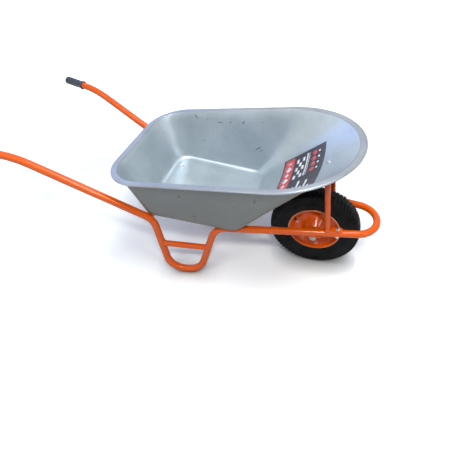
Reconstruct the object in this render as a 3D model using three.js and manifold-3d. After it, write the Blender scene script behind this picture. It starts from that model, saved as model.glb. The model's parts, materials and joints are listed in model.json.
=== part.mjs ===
// A single-wheel builder's wheelbarrow: a pressed galvanised tray on a painted steel tube frame, with a
// pneumatic wheel on ball bearings. Millimetres. +X is forward, +Y is the pusher's left, +Z is up.
// Lengths along X are measured from the wheel's axle; the last lines move the origin to the middle of the
// whole barrow's box, on the ground.

import * as THREE from "three";
import { LoftGeometry } from "three/addons/geometries/LoftGeometry.js";
import { mergeVertices } from "three/addons/utils/BufferGeometryUtils.js";
import Module from "manifold-3d";

// ---------------------------------------------------------------- driving dimensions

const GAP = 0.3; // between pieces that touch
const SIDES = { left: 1, right: -1 };
const UP = new THREE.Vector3(0, 0, 1);
const FORWARDS = new THREE.Vector3(1, 0, 0);
const ALONG_AXLE = new THREE.Vector3(0, 1, 0);

// The wheel, a 3.50-8 tyre on a rim made of two pressed halves.
const WHEEL = { radius: 190, width: 76, segments: 28 };
const RIM = {
  flangeRadius: 110,
  seatRadius: 101,
  seatWidth: 13,
  wellRadius: 88,
  width: 63,
  sheet: 2,
  bossRadius: 57,
  bossSlope: 6,
  wellSlope: 4,
  seatTaper: 1,
  boltCircle: 73,
  bolts: 5,
  firstBoltAngle: -69,
};
const HUB = { reach: 42, shoulder: 0.8, crown: 5 };
const TYRE = {
  beadWidth: 9,
  sidewall: 5,
  crown: 12,
  crownDrop: 6,
  treadHalfWidth: 26,
  shoulderDrop: 18,
  shoulderInset: 4,
  widestDepth: 38,
  flankDepth: 60,
  flankInset: 2,
};
const VALVE = { angle: 161, radius: 3.6, root: 18, reach: 27, capWall: 1.8, capLength: 11 };
const VALVE_COLLAR = { flange: 2, from: 2.2, to: 6 };
const INNER_TUBE = { wall: 2, neck: 8 };
const BEARING = { innerRace: 3.6, track: 4.4, outerRace: 3.4, width: 12, ball: 3.1, balls: 7, cage: 1.2 };
const AXLE = { radius: 8, tail: 0.4, nutAcross: 24, nutHeight: 9, washerRadius: 15, washer: 2 };
const BRACKET = { sheet: 5, insideY: 65, topLength: 62, endRadius: 19 };
const AXLE_DROP = 70; // from the rails' centre lines down to the axle

// The frame is bent from one size of round tube. Each side lies in an upright plane that closes in forwards,
// but for its leg, which splays out below the rail.
const TUBE = { radius: 15, wall: 1.5, facets: 12, bendStep: 18 };
const SMALL_FACETS = 8; // on thin tubes, shanks and holes
const BEARING_FACETS = 16;
const RAIL_HEIGHT = WHEEL.radius + AXLE_DROP;
const FRAME = {
  taper: 0.149, // how far a side closes in for each millimetre forwards
  jointHalfWidth: 96, // from the middle to the rail's centre line at the loop joint
  jointX: 111,
  railRearX: -383,
  legFrontX: -463.5,
  legRearX: -594,
  legSplay: 14, // how far a leg's foot stands out from its side's upright plane
  handleBendX: -626,
  handleBendHeight: RAIL_HEIGHT + 32,
  gripBendX: -1083,
  gripBendHeight: RAIL_HEIGHT + 318,
  gripTipX: -1236,
  gripTipHeight: RAIL_HEIGHT + 341,
};
const BEND = { grip: 300, handle: 72, legRear: 77, legFront: 72, rail: 67, stay: 40 };
const LOOP_GAP = 44.064; // between the tyre and the front loop's foremost bend
const GRIP = { wall: 1.7, length: 92, cap: 4, round: 3, collar: 2.5, flare: 6 };
const BRACE = { radius: 12.5, wall: 1.5, rearHeight: 164, frontHeight: 147 };
const SPIGOT = { wall: 2, rear: 40, front: 30 };
const STAY = { radius: 11, wall: 1.5, footX: 58, topX: 37.5, footWidth: 26, footSheet: 5, toe: 20, vent: 3 };
const RAIL_TOP = RAIL_HEIGHT + TUBE.radius;
const STAY_BOLT_X = 97;
const CROSS_BAR = { width: 30, rearSheet: 5, frontSheet: 3, rearX: -640, frontX: -304, overhang: 8 };

// The tray is one sheet: a sloping flat floor, walls that lean out, a flat lip and a curled edge.
const TRAY = { sheet: 1, lip: 24, curl: 4.5, floorBend: 24, lipBend: 8, boltHalfSpacing: 138 };
const TRAY_STEPS = { corner: 6, straight: 4, floorBend: 3, lipBend: 2, curl: 5 };
const TRAY_FLOOR = {
  rearX: -677,
  frontX: -266,
  rearHalfWidth: FRAME.jointHalfWidth + 107, // clear of the handles, which part as wide as the joint does
  frontHalfWidth: 195,
  rearHeight: RAIL_HEIGHT + 2 * TUBE.radius + 22, // clear of the handles, which start level with the rails
  frontHeight: RAIL_TOP + 2.9,
  cornerRadius: 62,
  frontCorner: 60,
};
const TRAY_RIM = {
  rearX: -773,
  frontX: 160,
  rearHalfWidth: TRAY_FLOOR.rearHalfWidth + 76,
  frontHalfWidth: 291,
  rearHeight: TRAY_FLOOR.rearHeight + 196.5,
  frontHeight: TRAY_FLOOR.frontHeight + 343.6,
  cornerRadius: 149,
  frontLength: 303,
};

// Metric fasteners: shank radius, distance across the hexagon's flats, head and nut heights.
const M8 = { shank: 4, across: 13, head: 5.3, nut: 6.5, hole: 4.4, tail: 3 };

// ---------------------------------------------------------------- materials

const paint = new THREE.MeshStandardMaterial({ color: 0xe8621c, roughness: 0.35, metalness: 0.1 });
const galvanised = new THREE.MeshStandardMaterial({ color: 0x9aa7b2, roughness: 0.42, metalness: 0.85 });
const zinc = new THREE.MeshStandardMaterial({ color: 0xc9cbc8, roughness: 0.3, metalness: 0.95 });
const bearingSteel = new THREE.MeshStandardMaterial({ color: 0x8b8e92, roughness: 0.2, metalness: 1 });
const rubber = new THREE.MeshStandardMaterial({ color: 0x1c1e20, roughness: 0.8, metalness: 0 });
const tubeRubber = new THREE.MeshStandardMaterial({ color: 0x151515, roughness: 0.6, metalness: 0 });
const gripPlastic = new THREE.MeshStandardMaterial({ color: 0x23262e, roughness: 0.55, metalness: 0 });
const brass = new THREE.MeshStandardMaterial({ color: 0xb59a55, roughness: 0.35, metalness: 0.9 });

// ---------------------------------------------------------------- booleans

const wasm = await Module();
wasm.setup();

/** Turns a closed geometry into a manifold solid, leaving out triangles that have shrunk to a line. */
function solidOf(geometry) {
  const bare = new THREE.BufferGeometry();
  bare.setAttribute("position", geometry.getAttribute("position"));
  bare.setIndex(geometry.getIndex());
  const merged = mergeVertices(bare, 1e-3);
  const corners = Array.from(merged.index.array);
  const triVerts = corners.filter((_, i) => {
    const [a, b, c] = corners.slice(i - (i % 3), i - (i % 3) + 3);
    return a !== b && b !== c && c !== a;
  });
  return new wasm.Manifold(
    new wasm.Mesh({
      numProp: 3,
      vertProperties: new Float32Array(merged.attributes.position.array),
      triVerts: new Uint32Array(triVerts),
    }),
  );
}

/** Turns a manifold solid back into a geometry. */
function geometryOf(solid) {
  const mesh = solid.getMesh();
  const geometry = new THREE.BufferGeometry();
  geometry.setAttribute("position", new THREE.Float32BufferAttribute(mesh.vertProperties, 3));
  geometry.setIndex(new THREE.Uint32BufferAttribute(mesh.triVerts, 1));
  geometry.computeVertexNormals();
  return geometry;
}

/** Joins some closed geometries, then cuts others out of them. */
function combine(joined, cut = []) {
  const whole = joined.map(solidOf).reduce((sum, solid) => sum.add(solid));
  return geometryOf(cut.map(solidOf).reduce((rest, solid) => rest.subtract(solid), whole));
}

// ---------------------------------------------------------------- outlines and routes

/** A regular polygon whose flats, not its corners, lie at the given radius. */
function polygon(radius, sides) {
  const corner = radius / Math.cos(Math.PI / sides);
  return Array.from({ length: sides }, (_, i) => {
    const angle = Math.PI / 2 + ((2 * i + 1) * Math.PI) / sides;
    return new THREE.Vector2(corner * Math.cos(angle), corner * Math.sin(angle));
  });
}

/** The section of a round tube, or of a round bar where it has no wall. */
function roundSection(radius, wall = 0, facets = TUBE.facets) {
  const section = new THREE.Shape(polygon(radius, facets));
  if (wall) section.holes.push(new THREE.Path(polygon(radius - wall, facets)));
  return section;
}

/** A flat route through corners, each rounded to its bend radius, measured by its stations. */
class BentRoute extends THREE.Curve {
  constructor(corners, bends, step = TUBE.bendStep) {
    super();
    const first = corners[1].clone().sub(corners[0]);
    const second = corners[2] ? corners[2].clone().sub(corners[1]) : UP;
    this.planeNormal = first.clone().cross(second).normalize();
    this.stations = [{ point: corners[0].clone(), tangent: first.normalize() }];
    for (let i = 1; i < corners.length - 1; i++) this.addBend(corners, i, bends[i - 1], step);
    const last = corners[corners.length - 1];
    const ending = last.clone().sub(corners[corners.length - 2]);
    this.stations.push({ point: last.clone(), tangent: ending.normalize() });
  }

  addBend(corners, i, radius, step) {
    const before = corners[i].clone().sub(corners[i - 1]).normalize();
    const after = corners[i + 1].clone().sub(corners[i]).normalize();
    const turn = before.angleTo(after);
    const start = corners[i].clone().addScaledVector(before, -radius * Math.tan(turn / 2));
    const axis = before.clone().cross(after).normalize();
    const centre = start.clone().addScaledVector(axis.clone().cross(before), radius);
    const count = Math.max(1, Math.round(THREE.MathUtils.radToDeg(turn) / step));
    for (let k = 0; k <= count; k++) {
      const angle = (turn * k) / count;
      const point = start.clone().sub(centre).applyAxisAngle(axis, angle).add(centre);
      const tangent = before.clone().applyAxisAngle(axis, angle);
      this.stations.push({ point, tangent });
    }
  }

  get steps() {
    return this.stations.length - 1;
  }

  getPoint(t, target = new THREE.Vector3()) {
    return target.copy(this.stations[Math.round(t * this.steps)].point);
  }

  getPointAt(t, target) {
    return this.getPoint(t, target);
  }

  computeFrenetFrames() {
    const tangents = this.stations.map((station) => station.tangent);
    const normals = tangents.map((tangent) => this.planeNormal.clone().projectOnPlane(tangent).normalize());
    const binormals = tangents.map((tangent, i) => tangent.clone().cross(normals[i]).normalize());
    return { tangents, normals, binormals };
  }
}

/** Sweeps a section along a route. */
function sweep(section, route) {
  return new THREE.ExtrudeGeometry(section, { steps: route.steps, bevelEnabled: false, extrudePath: route });
}

/** Turns a profile of radius and height round the Y axis. It is closed, and runs so that faces point out. */
function turned(points, segments) {
  const profile = points.map(([radius, height]) => new THREE.Vector2(radius, height));
  if (THREE.ShapeUtils.area(profile) < 0) profile.reverse();
  const onAxis = profile.findIndex((point) => point.x === 0);
  if (onAxis < 0) return new THREE.LatheGeometry([...profile, profile[0]], segments);
  const start = profile[(onAxis + 1) % profile.length].x === 0 ? onAxis + 1 : onAxis;
  const open = profile.map((_, i) => profile[(start + i) % profile.length]);
  return new THREE.LatheGeometry(open, segments);
}

/** A ring or disc, turned round the Y axis. */
function ring(inner, outer, low, high, segments) {
  return turned([[inner, low], [outer, low], [outer, high], [inner, high]], segments);
}

/** The closed outline of a sheet whose middle follows the points. */
function sheetOutline(points, thickness) {
  const middle = points.map(([x, y]) => new THREE.Vector2(x, y));
  const sides = [[], []];
  middle.forEach((point, i) => {
    const before = point.clone().sub(middle[i - 1] ?? point).normalize();
    const after = (middle[i + 1] ?? point).clone().sub(point).normalize();
    const along = before.clone().add(after).normalize();
    const mitre = i === 0 || i === middle.length - 1 ? 1 : Math.sqrt((1 + before.dot(after)) / 2);
    const offset = new THREE.Vector2(-along.y, along.x).multiplyScalar(thickness / 2 / mitre);
    sides[0].push(point.clone().add(offset).toArray());
    sides[1].push(point.clone().sub(offset).toArray());
  });
  return [...sides[0], ...sides[1].reverse()];
}

/** A flat plate with round holes, standing on Z = 0. */
function plate(outline, thickness, holes = []) {
  const shape = outline instanceof THREE.Shape ? outline : new THREE.Shape(outline);
  for (const [x, y, radius] of holes) {
    const hole = polygon(radius, SMALL_FACETS).map((p) => p.add(new THREE.Vector2(x, y)));
    shape.holes.push(new THREE.Path(hole));
  }
  return new THREE.ExtrudeGeometry(shape, { depth: thickness, bevelEnabled: false, curveSegments: 6 });
}

/** A rectangle's corners, from its half sizes. */
function rectangle(halfLength, halfWidth) {
  const signs = [[-1, -1], [1, -1], [1, 1], [-1, 1]];
  return signs.map(([x, y]) => new THREE.Vector2(x * halfLength, y * halfWidth));
}

/** A straight round bar along Z, from one height to another. */
function bar(radius, low, high, facets = SMALL_FACETS) {
  const shape = new THREE.Shape(polygon(radius, facets));
  return new THREE.ExtrudeGeometry(shape, { depth: high - low, bevelEnabled: false }).translate(0, 0, low);
}

// ---------------------------------------------------------------- the scene

const barrow = new THREE.Group();
const wheel = new THREE.Group();
wheel.position.z = WHEEL.radius;
barrow.add(wheel);

/** Adds a named piece, as a mesh with its material, to a group. */
function addPart(name, geometry, material, group = barrow) {
  const mesh = new THREE.Mesh(geometry, material);
  mesh.name = name;
  group.add(mesh);
  return mesh;
}

/** Places a mesh so that its own Z axis points along a direction. */
function standAlong(mesh, point, direction) {
  mesh.position.copy(point);
  mesh.quaternion.setFromUnitVectors(UP, direction.clone().normalize());
}

/** A hexagon bolt: its head stands on Z = 0 and its shank runs down through the stack. */
function boltGeometry(size, stack) {
  const low = -(stack + size.nut + 2 * GAP + size.tail);
  return combine([bar(size.across / 2, 0, size.head, 6), bar(size.shank, low, size.head / 2)]);
}

/** A hexagon nut whose upper face is at Z = 0. */
function nutGeometry(across, height, hole) {
  return plate(new THREE.Shape(polygon(across / 2, 6)), height, [[0, 0, hole]]).translate(0, 0, -height);
}

/** Adds a bolt and its nut, clamping a stack that starts at a point and runs against a direction. */
function addBolt(name, point, direction, stack) {
  const up = direction.clone().normalize();
  const head = addPart(`${name}_bolt`, boltGeometry(M8, stack), zinc);
  standAlong(head, point.clone().addScaledVector(up, GAP), up);
  const nut = addPart(`${name}_nut`, nutGeometry(M8.across, M8.nut, M8.shank + GAP), zinc);
  standAlong(nut, point.clone().addScaledVector(up, -stack - GAP), up);
}

/** A drill for a bolt's hole, along a direction through a point. */
function drill(point, direction, radius, reach) {
  const turn = new THREE.Quaternion().setFromUnitVectors(UP, direction.clone().normalize());
  const place = new THREE.Matrix4().compose(point, turn, new THREE.Vector3(1, 1, 1));
  return bar(radius, -reach, reach).applyMatrix4(place);
}

// ---------------------------------------------------------------- side tubes, grips and braces

/** The distance from the middle plane to a side's centre line. */
const sideY = (x) => FRAME.jointHalfWidth + FRAME.taper * (FRAME.jointX - x);
const onSide = (x, z, side) => new THREE.Vector3(x, side * sideY(x), z);

/** The corners of one side tube's centre line, from the grip's tip to the joint with the front loop. */
function sideCorners(side) {
  return [
    onSide(FRAME.gripTipX, FRAME.gripTipHeight, side),
    onSide(FRAME.gripBendX, FRAME.gripBendHeight, side),
    onSide(FRAME.handleBendX, FRAME.handleBendHeight, side),
    onSide(FRAME.legRearX, TUBE.radius, side).addScaledVector(ALONG_AXLE, side * FRAME.legSplay),
    onSide(FRAME.legFrontX, TUBE.radius, side).addScaledVector(ALONG_AXLE, side * FRAME.legSplay),
    onSide(FRAME.railRearX, RAIL_HEIGHT, side),
    onSide(FRAME.jointX, RAIL_HEIGHT, side),
  ];
}

/** One side's route, which starts inside the grip's closed end. */
function sideRoute(side) {
  const corners = sideCorners(side);
  const inwards = corners[1].clone().sub(corners[0]).normalize();
  corners[0].addScaledVector(inwards, GRIP.cap + GAP);
  const forwards = corners[6].clone().sub(corners[5]).normalize();
  corners[6].addScaledVector(forwards, -GAP / 2);
  return new BentRoute(corners, [BEND.grip, BEND.handle, BEND.legRear, BEND.legFront, BEND.rail]);
}

/** A side tube's outside, grown by the gap, for cutting what is welded against it. */
const sideCutter = (side) => sweep(roundSection(TUBE.radius + GAP), sideRoute(side));

function addSideTube(name, side) {
  const hole = drill(onSide(STAY_BOLT_X, RAIL_HEIGHT, side), UP, M8.hole, 2 * TUBE.radius);
  const tube = sweep(roundSection(TUBE.radius, TUBE.wall), sideRoute(side));
  addPart(`${name}_side_tube`, combine([tube], [hole]), paint);
}

function addGrip(name, side) {
  const [tip, bend] = sideCorners(side);
  const inside = TUBE.radius / Math.cos(Math.PI / TUBE.facets) + GAP;
  const outside = inside + GRIP.wall;
  const profile = [
    [0, 0],
    [outside - GRIP.round, 0],
    [outside, GRIP.round],
    [outside, GRIP.length - 2 * GRIP.flare],
    [outside + GRIP.collar, GRIP.length - GRIP.flare],
    [outside + GRIP.collar, GRIP.length],
    [inside, GRIP.length],
    [inside, GRIP.cap],
    [0, GRIP.cap],
  ];
  const sleeve = turned(profile, 2 * TUBE.facets).rotateX(Math.PI / 2);
  standAlong(addPart(`${name}_grip`, sleeve, gripPlastic), tip, bend.clone().sub(tip));
}

/** The point at a height on the straight line between two points. */
const atHeight = (a, b, height) => a.clone().lerp(b, (height - a.z) / (b.z - a.z));

/** A brace runs between the straight parts of a leg. */
function addBrace(name, side) {
  const corners = sideCorners(side);
  const rear = atHeight(corners[2], corners[3], BRACE.rearHeight);
  const front = atHeight(corners[5], corners[4], BRACE.frontHeight);
  const tube = sweep(roundSection(BRACE.radius, BRACE.wall, SMALL_FACETS), new BentRoute([rear, front], []));
  addPart(`${name}_leg_brace`, combine([tube], [sideCutter(side)]), paint);
}

// ---------------------------------------------------------------- front loop, spigots and stay

function addFrontLoop() {
  const meet = FRAME.jointX + FRAME.jointHalfWidth / FRAME.taper;
  const corners = [
    onSide(FRAME.jointX, RAIL_HEIGHT, SIDES.left),
    new THREE.Vector3(meet, 0, RAIL_HEIGHT),
    onSide(FRAME.jointX, RAIL_HEIGHT, SIDES.right),
  ];
  for (const end of [0, 2]) {
    const inwards = corners[1].clone().sub(corners[end]).normalize();
    corners[end].addScaledVector(inwards, GAP / 2);
  }
  const nose = WHEEL.radius + LOOP_GAP + TUBE.radius;
  const closing = Math.atan(FRAME.taper);
  const bend = (meet - nose) / (1 / Math.sin(closing) - 1);
  const route = new BentRoute(corners, [bend]);
  addPart("front_loop", sweep(roundSection(TUBE.radius, TUBE.wall), route), paint);
}

/** The direction in which one side's rail runs forwards. */
const railDirection = (side) => new THREE.Vector3(1, -side * FRAME.taper, 0).normalize();

function addSpigot(name, side) {
  const joint = onSide(FRAME.jointX, RAIL_HEIGHT, side);
  const forwards = railDirection(side);
  const ends = [-SPIGOT.rear, SPIGOT.front].map((along) => joint.clone().addScaledVector(forwards, along));
  const route = new BentRoute(ends, []);
  const hole = drill(onSide(STAY_BOLT_X, RAIL_HEIGHT, side), UP, M8.hole, 2 * TUBE.radius);
  const tube = sweep(roundSection(TUBE.radius - TUBE.wall - GAP, SPIGOT.wall), route);
  addPart(`${name}_loop_spigot`, combine([tube], [hole]), zinc);
}

/** The height of the flat feet's undersides, on top of the rails. */
const footHeight = RAIL_TOP + GAP;

/** One foot of the stay: a flat tongue along the rail, round at its toe, with the bolt's hole. */
function stayFoot(side) {
  const half = STAY.footWidth / 2;
  const boltReach = (STAY_BOLT_X - STAY.footX) * Math.hypot(1, FRAME.taper);
  const outline = new THREE.Shape();
  outline.moveTo(-STAY.radius, -half);
  outline.lineTo(boltReach + STAY.toe - half, -half);
  outline.absarc(boltReach + STAY.toe - half, 0, half, -Math.PI / 2, Math.PI / 2, false);
  outline.lineTo(-STAY.radius, half);
  outline.closePath();
  const foot = plate(outline, STAY.footSheet, [[boltReach, 0, M8.hole]]);
  foot.rotateZ(-side * Math.atan(FRAME.taper));
  return foot.translate(STAY.footX, side * sideY(STAY.footX), footHeight);
}

/** The tray's front wall at the middle plane: the point on it at an X, and its outward normal. */
function frontWall(x) {
  const foot = new THREE.Vector3(TRAY_FLOOR.frontX, 0, TRAY_FLOOR.frontHeight);
  const edge = new THREE.Vector3(TRAY_RIM.frontX, 0, TRAY_RIM.frontHeight);
  const lip = edge.addScaledVector(ALONG_AXLE.clone().cross(planeNormal(TRAY_RIM)), -TRAY.lip);
  const along = lip.clone().sub(foot);
  const point = foot.clone().addScaledVector(along, (x - foot.x) / along.x);
  return { point, normal: new THREE.Vector3(along.z, 0, -along.x).normalize() };
}

/** The reach of the stay tube's corners, which stand proud of its flats. */
const stayCorner = STAY.radius / Math.cos(Math.PI / SMALL_FACETS);

/** The middle of the stay's cross tube, resting against the outside of the tray's front wall. */
function stayTop() {
  const { normal } = frontWall(0);
  const reach = TRAY.sheet + GAP + stayCorner;
  return frontWall(STAY.topX - reach * normal.x).point.addScaledVector(normal, reach);
}

function addStay() {
  const top = stayTop();
  const footY = sideY(STAY.footX);
  const corners = [
    new THREE.Vector3(STAY.footX, footY, footHeight + STAY.footSheet / 2),
    new THREE.Vector3(top.x, footY, top.z),
    new THREE.Vector3(top.x, -footY, top.z),
    new THREE.Vector3(STAY.footX, -footY, footHeight + STAY.footSheet / 2),
  ];
  const route = new BentRoute(corners, [BEND.stay, BEND.stay]);
  const tube = sweep(roundSection(STAY.radius, STAY.wall, SMALL_FACETS), route);
  const ventHeight = footHeight + STAY.footSheet + 3 * STAY.vent;
  const vents = [footY, -footY].map((y) => {
    const place = new THREE.Vector3(STAY.footX + STAY.radius, y, ventHeight);
    return drill(place, FORWARDS, STAY.vent, STAY.radius / 2);
  });
  const boltHole = drill(top, frontWall(0).normal, M8.hole, 2 * STAY.radius);
  const pieces = [tube, stayFoot(SIDES.left), stayFoot(SIDES.right)];
  addPart("front_stay", combine(pieces, [...vents, boltHole]), paint);
}

/** The bolts that hold the stay's feet, the rails and the spigots together. */
function addStayBolt(name, side) {
  const top = onSide(STAY_BOLT_X, footHeight + STAY.footSheet, side);
  addBolt(`${name}_stay`, top, UP, STAY.footSheet + GAP + 2 * TUBE.radius);
}

// ---------------------------------------------------------------- tray

/** The outline of the tray's edge or floor, seen from above, as matching points on its left half. */
function halfOutline(o, frontPoints) {
  const points = [new THREE.Vector2(o.rearX, 0)];
  const cornerX = o.rearX + o.cornerRadius;
  const cornerY = o.rearHalfWidth - o.cornerRadius;
  for (let k = 0; k <= TRAY_STEPS.corner; k++) {
    const angle = Math.PI - (k * Math.PI) / (2 * TRAY_STEPS.corner);
    const spoke = new THREE.Vector2(Math.cos(angle), Math.sin(angle)).multiplyScalar(o.cornerRadius);
    points.push(spoke.add(new THREE.Vector2(cornerX, cornerY)));
  }
  const [sideEnd] = frontPoints;
  points.push(points[points.length - 1].clone().lerp(sideEnd, 0.5), ...frontPoints);
  return points;
}

/** Closes a left half outline with its mirror image, and lifts it onto a sloping plane. */
function closedOutline(half, o) {
  const right = half.slice(1, -1).map((p) => new THREE.Vector2(p.x, -p.y));
  const slope = (o.frontHeight - o.rearHeight) / (o.frontX - o.rearX);
  const lift = (p) => new THREE.Vector3(p.x, p.y, o.rearHeight + slope * (p.x - o.rearX));
  return [...half, ...right.reverse()].map(lift);
}

/** The tray's edge: its nose is half an ellipse. */
function rimOutline() {
  const steps = TRAY_STEPS.corner + TRAY_STEPS.straight;
  const nose = Array.from({ length: steps + 1 }, (_, k) => {
    const angle = (k * Math.PI) / (2 * steps);
    const x = TRAY_RIM.frontX - TRAY_RIM.frontLength * (1 - Math.sin(angle));
    return new THREE.Vector2(x, k === steps ? 0 : TRAY_RIM.frontHalfWidth * Math.cos(angle));
  });
  return closedOutline(halfOutline(TRAY_RIM, nose), TRAY_RIM);
}

/** The floor's edge: its front is straight, with round corners. */
function floorOutline() {
  const r = TRAY_FLOOR.frontCorner;
  const front = Array.from({ length: TRAY_STEPS.corner + 1 }, (_, k) => {
    const angle = (k * Math.PI) / (2 * TRAY_STEPS.corner);
    const x = TRAY_FLOOR.frontX - r + r * Math.sin(angle);
    return new THREE.Vector2(x, TRAY_FLOOR.frontHalfWidth - r + r * Math.cos(angle));
  });
  const straight = TRAY_FLOOR.frontHalfWidth - r;
  for (let k = 1; k <= TRAY_STEPS.straight; k++) {
    front.push(new THREE.Vector2(TRAY_FLOOR.frontX, straight * (1 - k / TRAY_STEPS.straight)));
  }
  return closedOutline(halfOutline(TRAY_FLOOR, front), TRAY_FLOOR);
}

/** Unit vectors that point out of a closed outline, in its own plane. */
function outwardNormals(outline, planeNormal) {
  return outline.map((_, i) => {
    const next = outline[(i + 1) % outline.length];
    const previous = outline[(i + outline.length - 1) % outline.length];
    return planeNormal.clone().cross(next.clone().sub(previous)).normalize();
  });
}

/** The upward normal of a sloping outline's plane. */
function planeNormal(o) {
  return new THREE.Vector3(o.rearHeight - o.frontHeight, 0, o.frontX - o.rearX).normalize();
}

/** Points along the arc that rounds a corner between two straight stretches. */
function cornerArc(before, corner, after, radius, count) {
  const along = corner.clone().sub(before).normalize();
  const away = after.clone().sub(corner).normalize();
  const turn = along.angleTo(away);
  const start = corner.clone().addScaledVector(along, -radius * Math.tan(turn / 2));
  const axis = along.clone().cross(away).normalize();
  const centre = start.clone().addScaledVector(axis.clone().cross(along), radius);
  return Array.from({ length: count + 1 }, (_, k) =>
    start.clone().sub(centre).applyAxisAngle(axis, (turn * k) / count).add(centre),
  );
}

/** One rib of the tray's upper surface, from the floor up the wall and over the lip to the curl's end. */
function trayRib(floorPoint, floorOut, rimPoint, rimOut, rimUp) {
  const onFloor = floorPoint.clone().addScaledVector(floorOut, -2 * TRAY.floorBend);
  const wallTop = rimPoint.clone().addScaledVector(rimOut, -TRAY.lip);
  const lipEnd = rimPoint.clone().addScaledVector(rimOut, -TRAY.curl);
  const curlCentre = lipEnd.clone().addScaledVector(rimUp, -TRAY.curl);
  const rib = [
    ...cornerArc(onFloor, floorPoint, wallTop, TRAY.floorBend, TRAY_STEPS.floorBend),
    floorPoint.clone().lerp(wallTop, 0.5),
    ...cornerArc(floorPoint, wallTop, lipEnd, TRAY.lipBend, TRAY_STEPS.lipBend),
  ];
  for (let k = 0; k <= TRAY_STEPS.curl; k++) {
    const angle = (k * 1.5 * Math.PI) / TRAY_STEPS.curl;
    rib.push(
      curlCentre
        .clone()
        .addScaledVector(rimUp, TRAY.curl * Math.cos(angle))
        .addScaledVector(rimOut, TRAY.curl * Math.sin(angle)),
    );
  }
  return rib;
}

/** A point on the upper face of the tray's floor. */
function floorPoint(x, y) {
  const slope = (TRAY_FLOOR.frontHeight - TRAY_FLOOR.rearHeight) / (TRAY_FLOOR.frontX - TRAY_FLOOR.rearX);
  return new THREE.Vector3(x, y, TRAY_FLOOR.rearHeight + slope * (x - TRAY_FLOOR.rearX));
}

function addTray() {
  const rimUp = planeNormal(TRAY_RIM);
  const rim = rimOutline();
  const floor = floorOutline();
  const rimOut = outwardNormals(rim, rimUp);
  const floorOut = outwardNormals(floor, planeNormal(TRAY_FLOOR));
  const ribs = floor.map((point, i) => trayRib(point, floorOut[i], rim[i], rimOut[i], rimUp));
  const at = (rib, row) => ribs[(rib + ribs.length) % ribs.length][row];
  const rows = ribs[0].length;
  const upper = [];
  const lower = [];
  for (let row = 0; row < rows; row++) {
    upper.push(ribs.map((rib) => rib[row]));
    lower.push(
      ribs.map((rib, i) => {
        const across = at(i + 1, row).clone().sub(at(i - 1, row));
        const up = at(i, Math.min(row + 1, rows - 1)).clone().sub(at(i, Math.max(row - 1, 0)));
        const normal = row === 0 ? planeNormal(TRAY_FLOOR) : across.cross(up).normalize();
        return rib[row].clone().addScaledVector(normal, -TRAY.sheet);
      }),
    );
  }
  const centre = floorPoint((TRAY_FLOOR.rearX + TRAY_FLOOR.frontX) / 2, 0);
  upper.unshift(ribs.map(() => centre));
  const shell = new LoftGeometry([...upper, ...lower.reverse()], { capEnd: true });
  const floorUp = planeNormal(TRAY_FLOOR);
  const holes = Object.values(SIDES).map((side) =>
    drill(floorPoint(CROSS_BAR.rearX, side * TRAY.boltHalfSpacing), floorUp, M8.hole, 4 * TRAY.sheet),
  );
  holes.push(drill(stayTop(), frontWall(0).normal, M8.hole, 2 * STAY.radius));
  addPart("tray", combine([shell], holes), galvanised);
}

// ---------------------------------------------------------------- cross bars and tray bolts

/** The bar under the back of the tray, between the two handle bends. */
function addRearCrossBar() {
  const reach = sideY(CROSS_BAR.rearX);
  const holes = Object.values(SIDES).map((side) => [0, side * TRAY.boltHalfSpacing, M8.hole]);
  const flat = plate(rectangle(CROSS_BAR.width / 2, reach), CROSS_BAR.rearSheet, holes);
  flat.translate(0, 0, -CROSS_BAR.rearSheet - TRAY.sheet - GAP);
  flat.applyQuaternion(new THREE.Quaternion().setFromUnitVectors(UP, planeNormal(TRAY_FLOOR)));
  const centre = floorPoint(CROSS_BAR.rearX, 0);
  flat.translate(centre.x, centre.y, centre.z);
  const cutters = Object.values(SIDES).map(sideCutter);
  addPart("rear_cross_bar", combine([flat], cutters), paint);
}

/** The strip across the rails that the front of the tray's floor stands on. */
function addFrontCrossBar() {
  const reach = sideY(CROSS_BAR.frontX) + CROSS_BAR.overhang;
  const strip = plate(rectangle(CROSS_BAR.width / 2, reach), CROSS_BAR.frontSheet);
  strip.translate(CROSS_BAR.frontX, 0, RAIL_TOP + GAP);
  addPart("front_cross_bar", strip, paint);
}

function addTrayBolts() {
  const up = planeNormal(TRAY_FLOOR);
  for (const [name, side] of Object.entries(SIDES)) {
    const point = floorPoint(CROSS_BAR.rearX, side * TRAY.boltHalfSpacing);
    addBolt(`${name}_tray`, point, up, TRAY.sheet + GAP + CROSS_BAR.rearSheet);
  }
  const { normal } = frontWall(0);
  const inside = stayTop().addScaledVector(normal, -stayCorner - GAP - TRAY.sheet);
  addBolt("tray_front", inside, normal.clone().negate(), TRAY.sheet + GAP + 2 * stayCorner);
}

// ---------------------------------------------------------------- axle and its brackets

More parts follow.
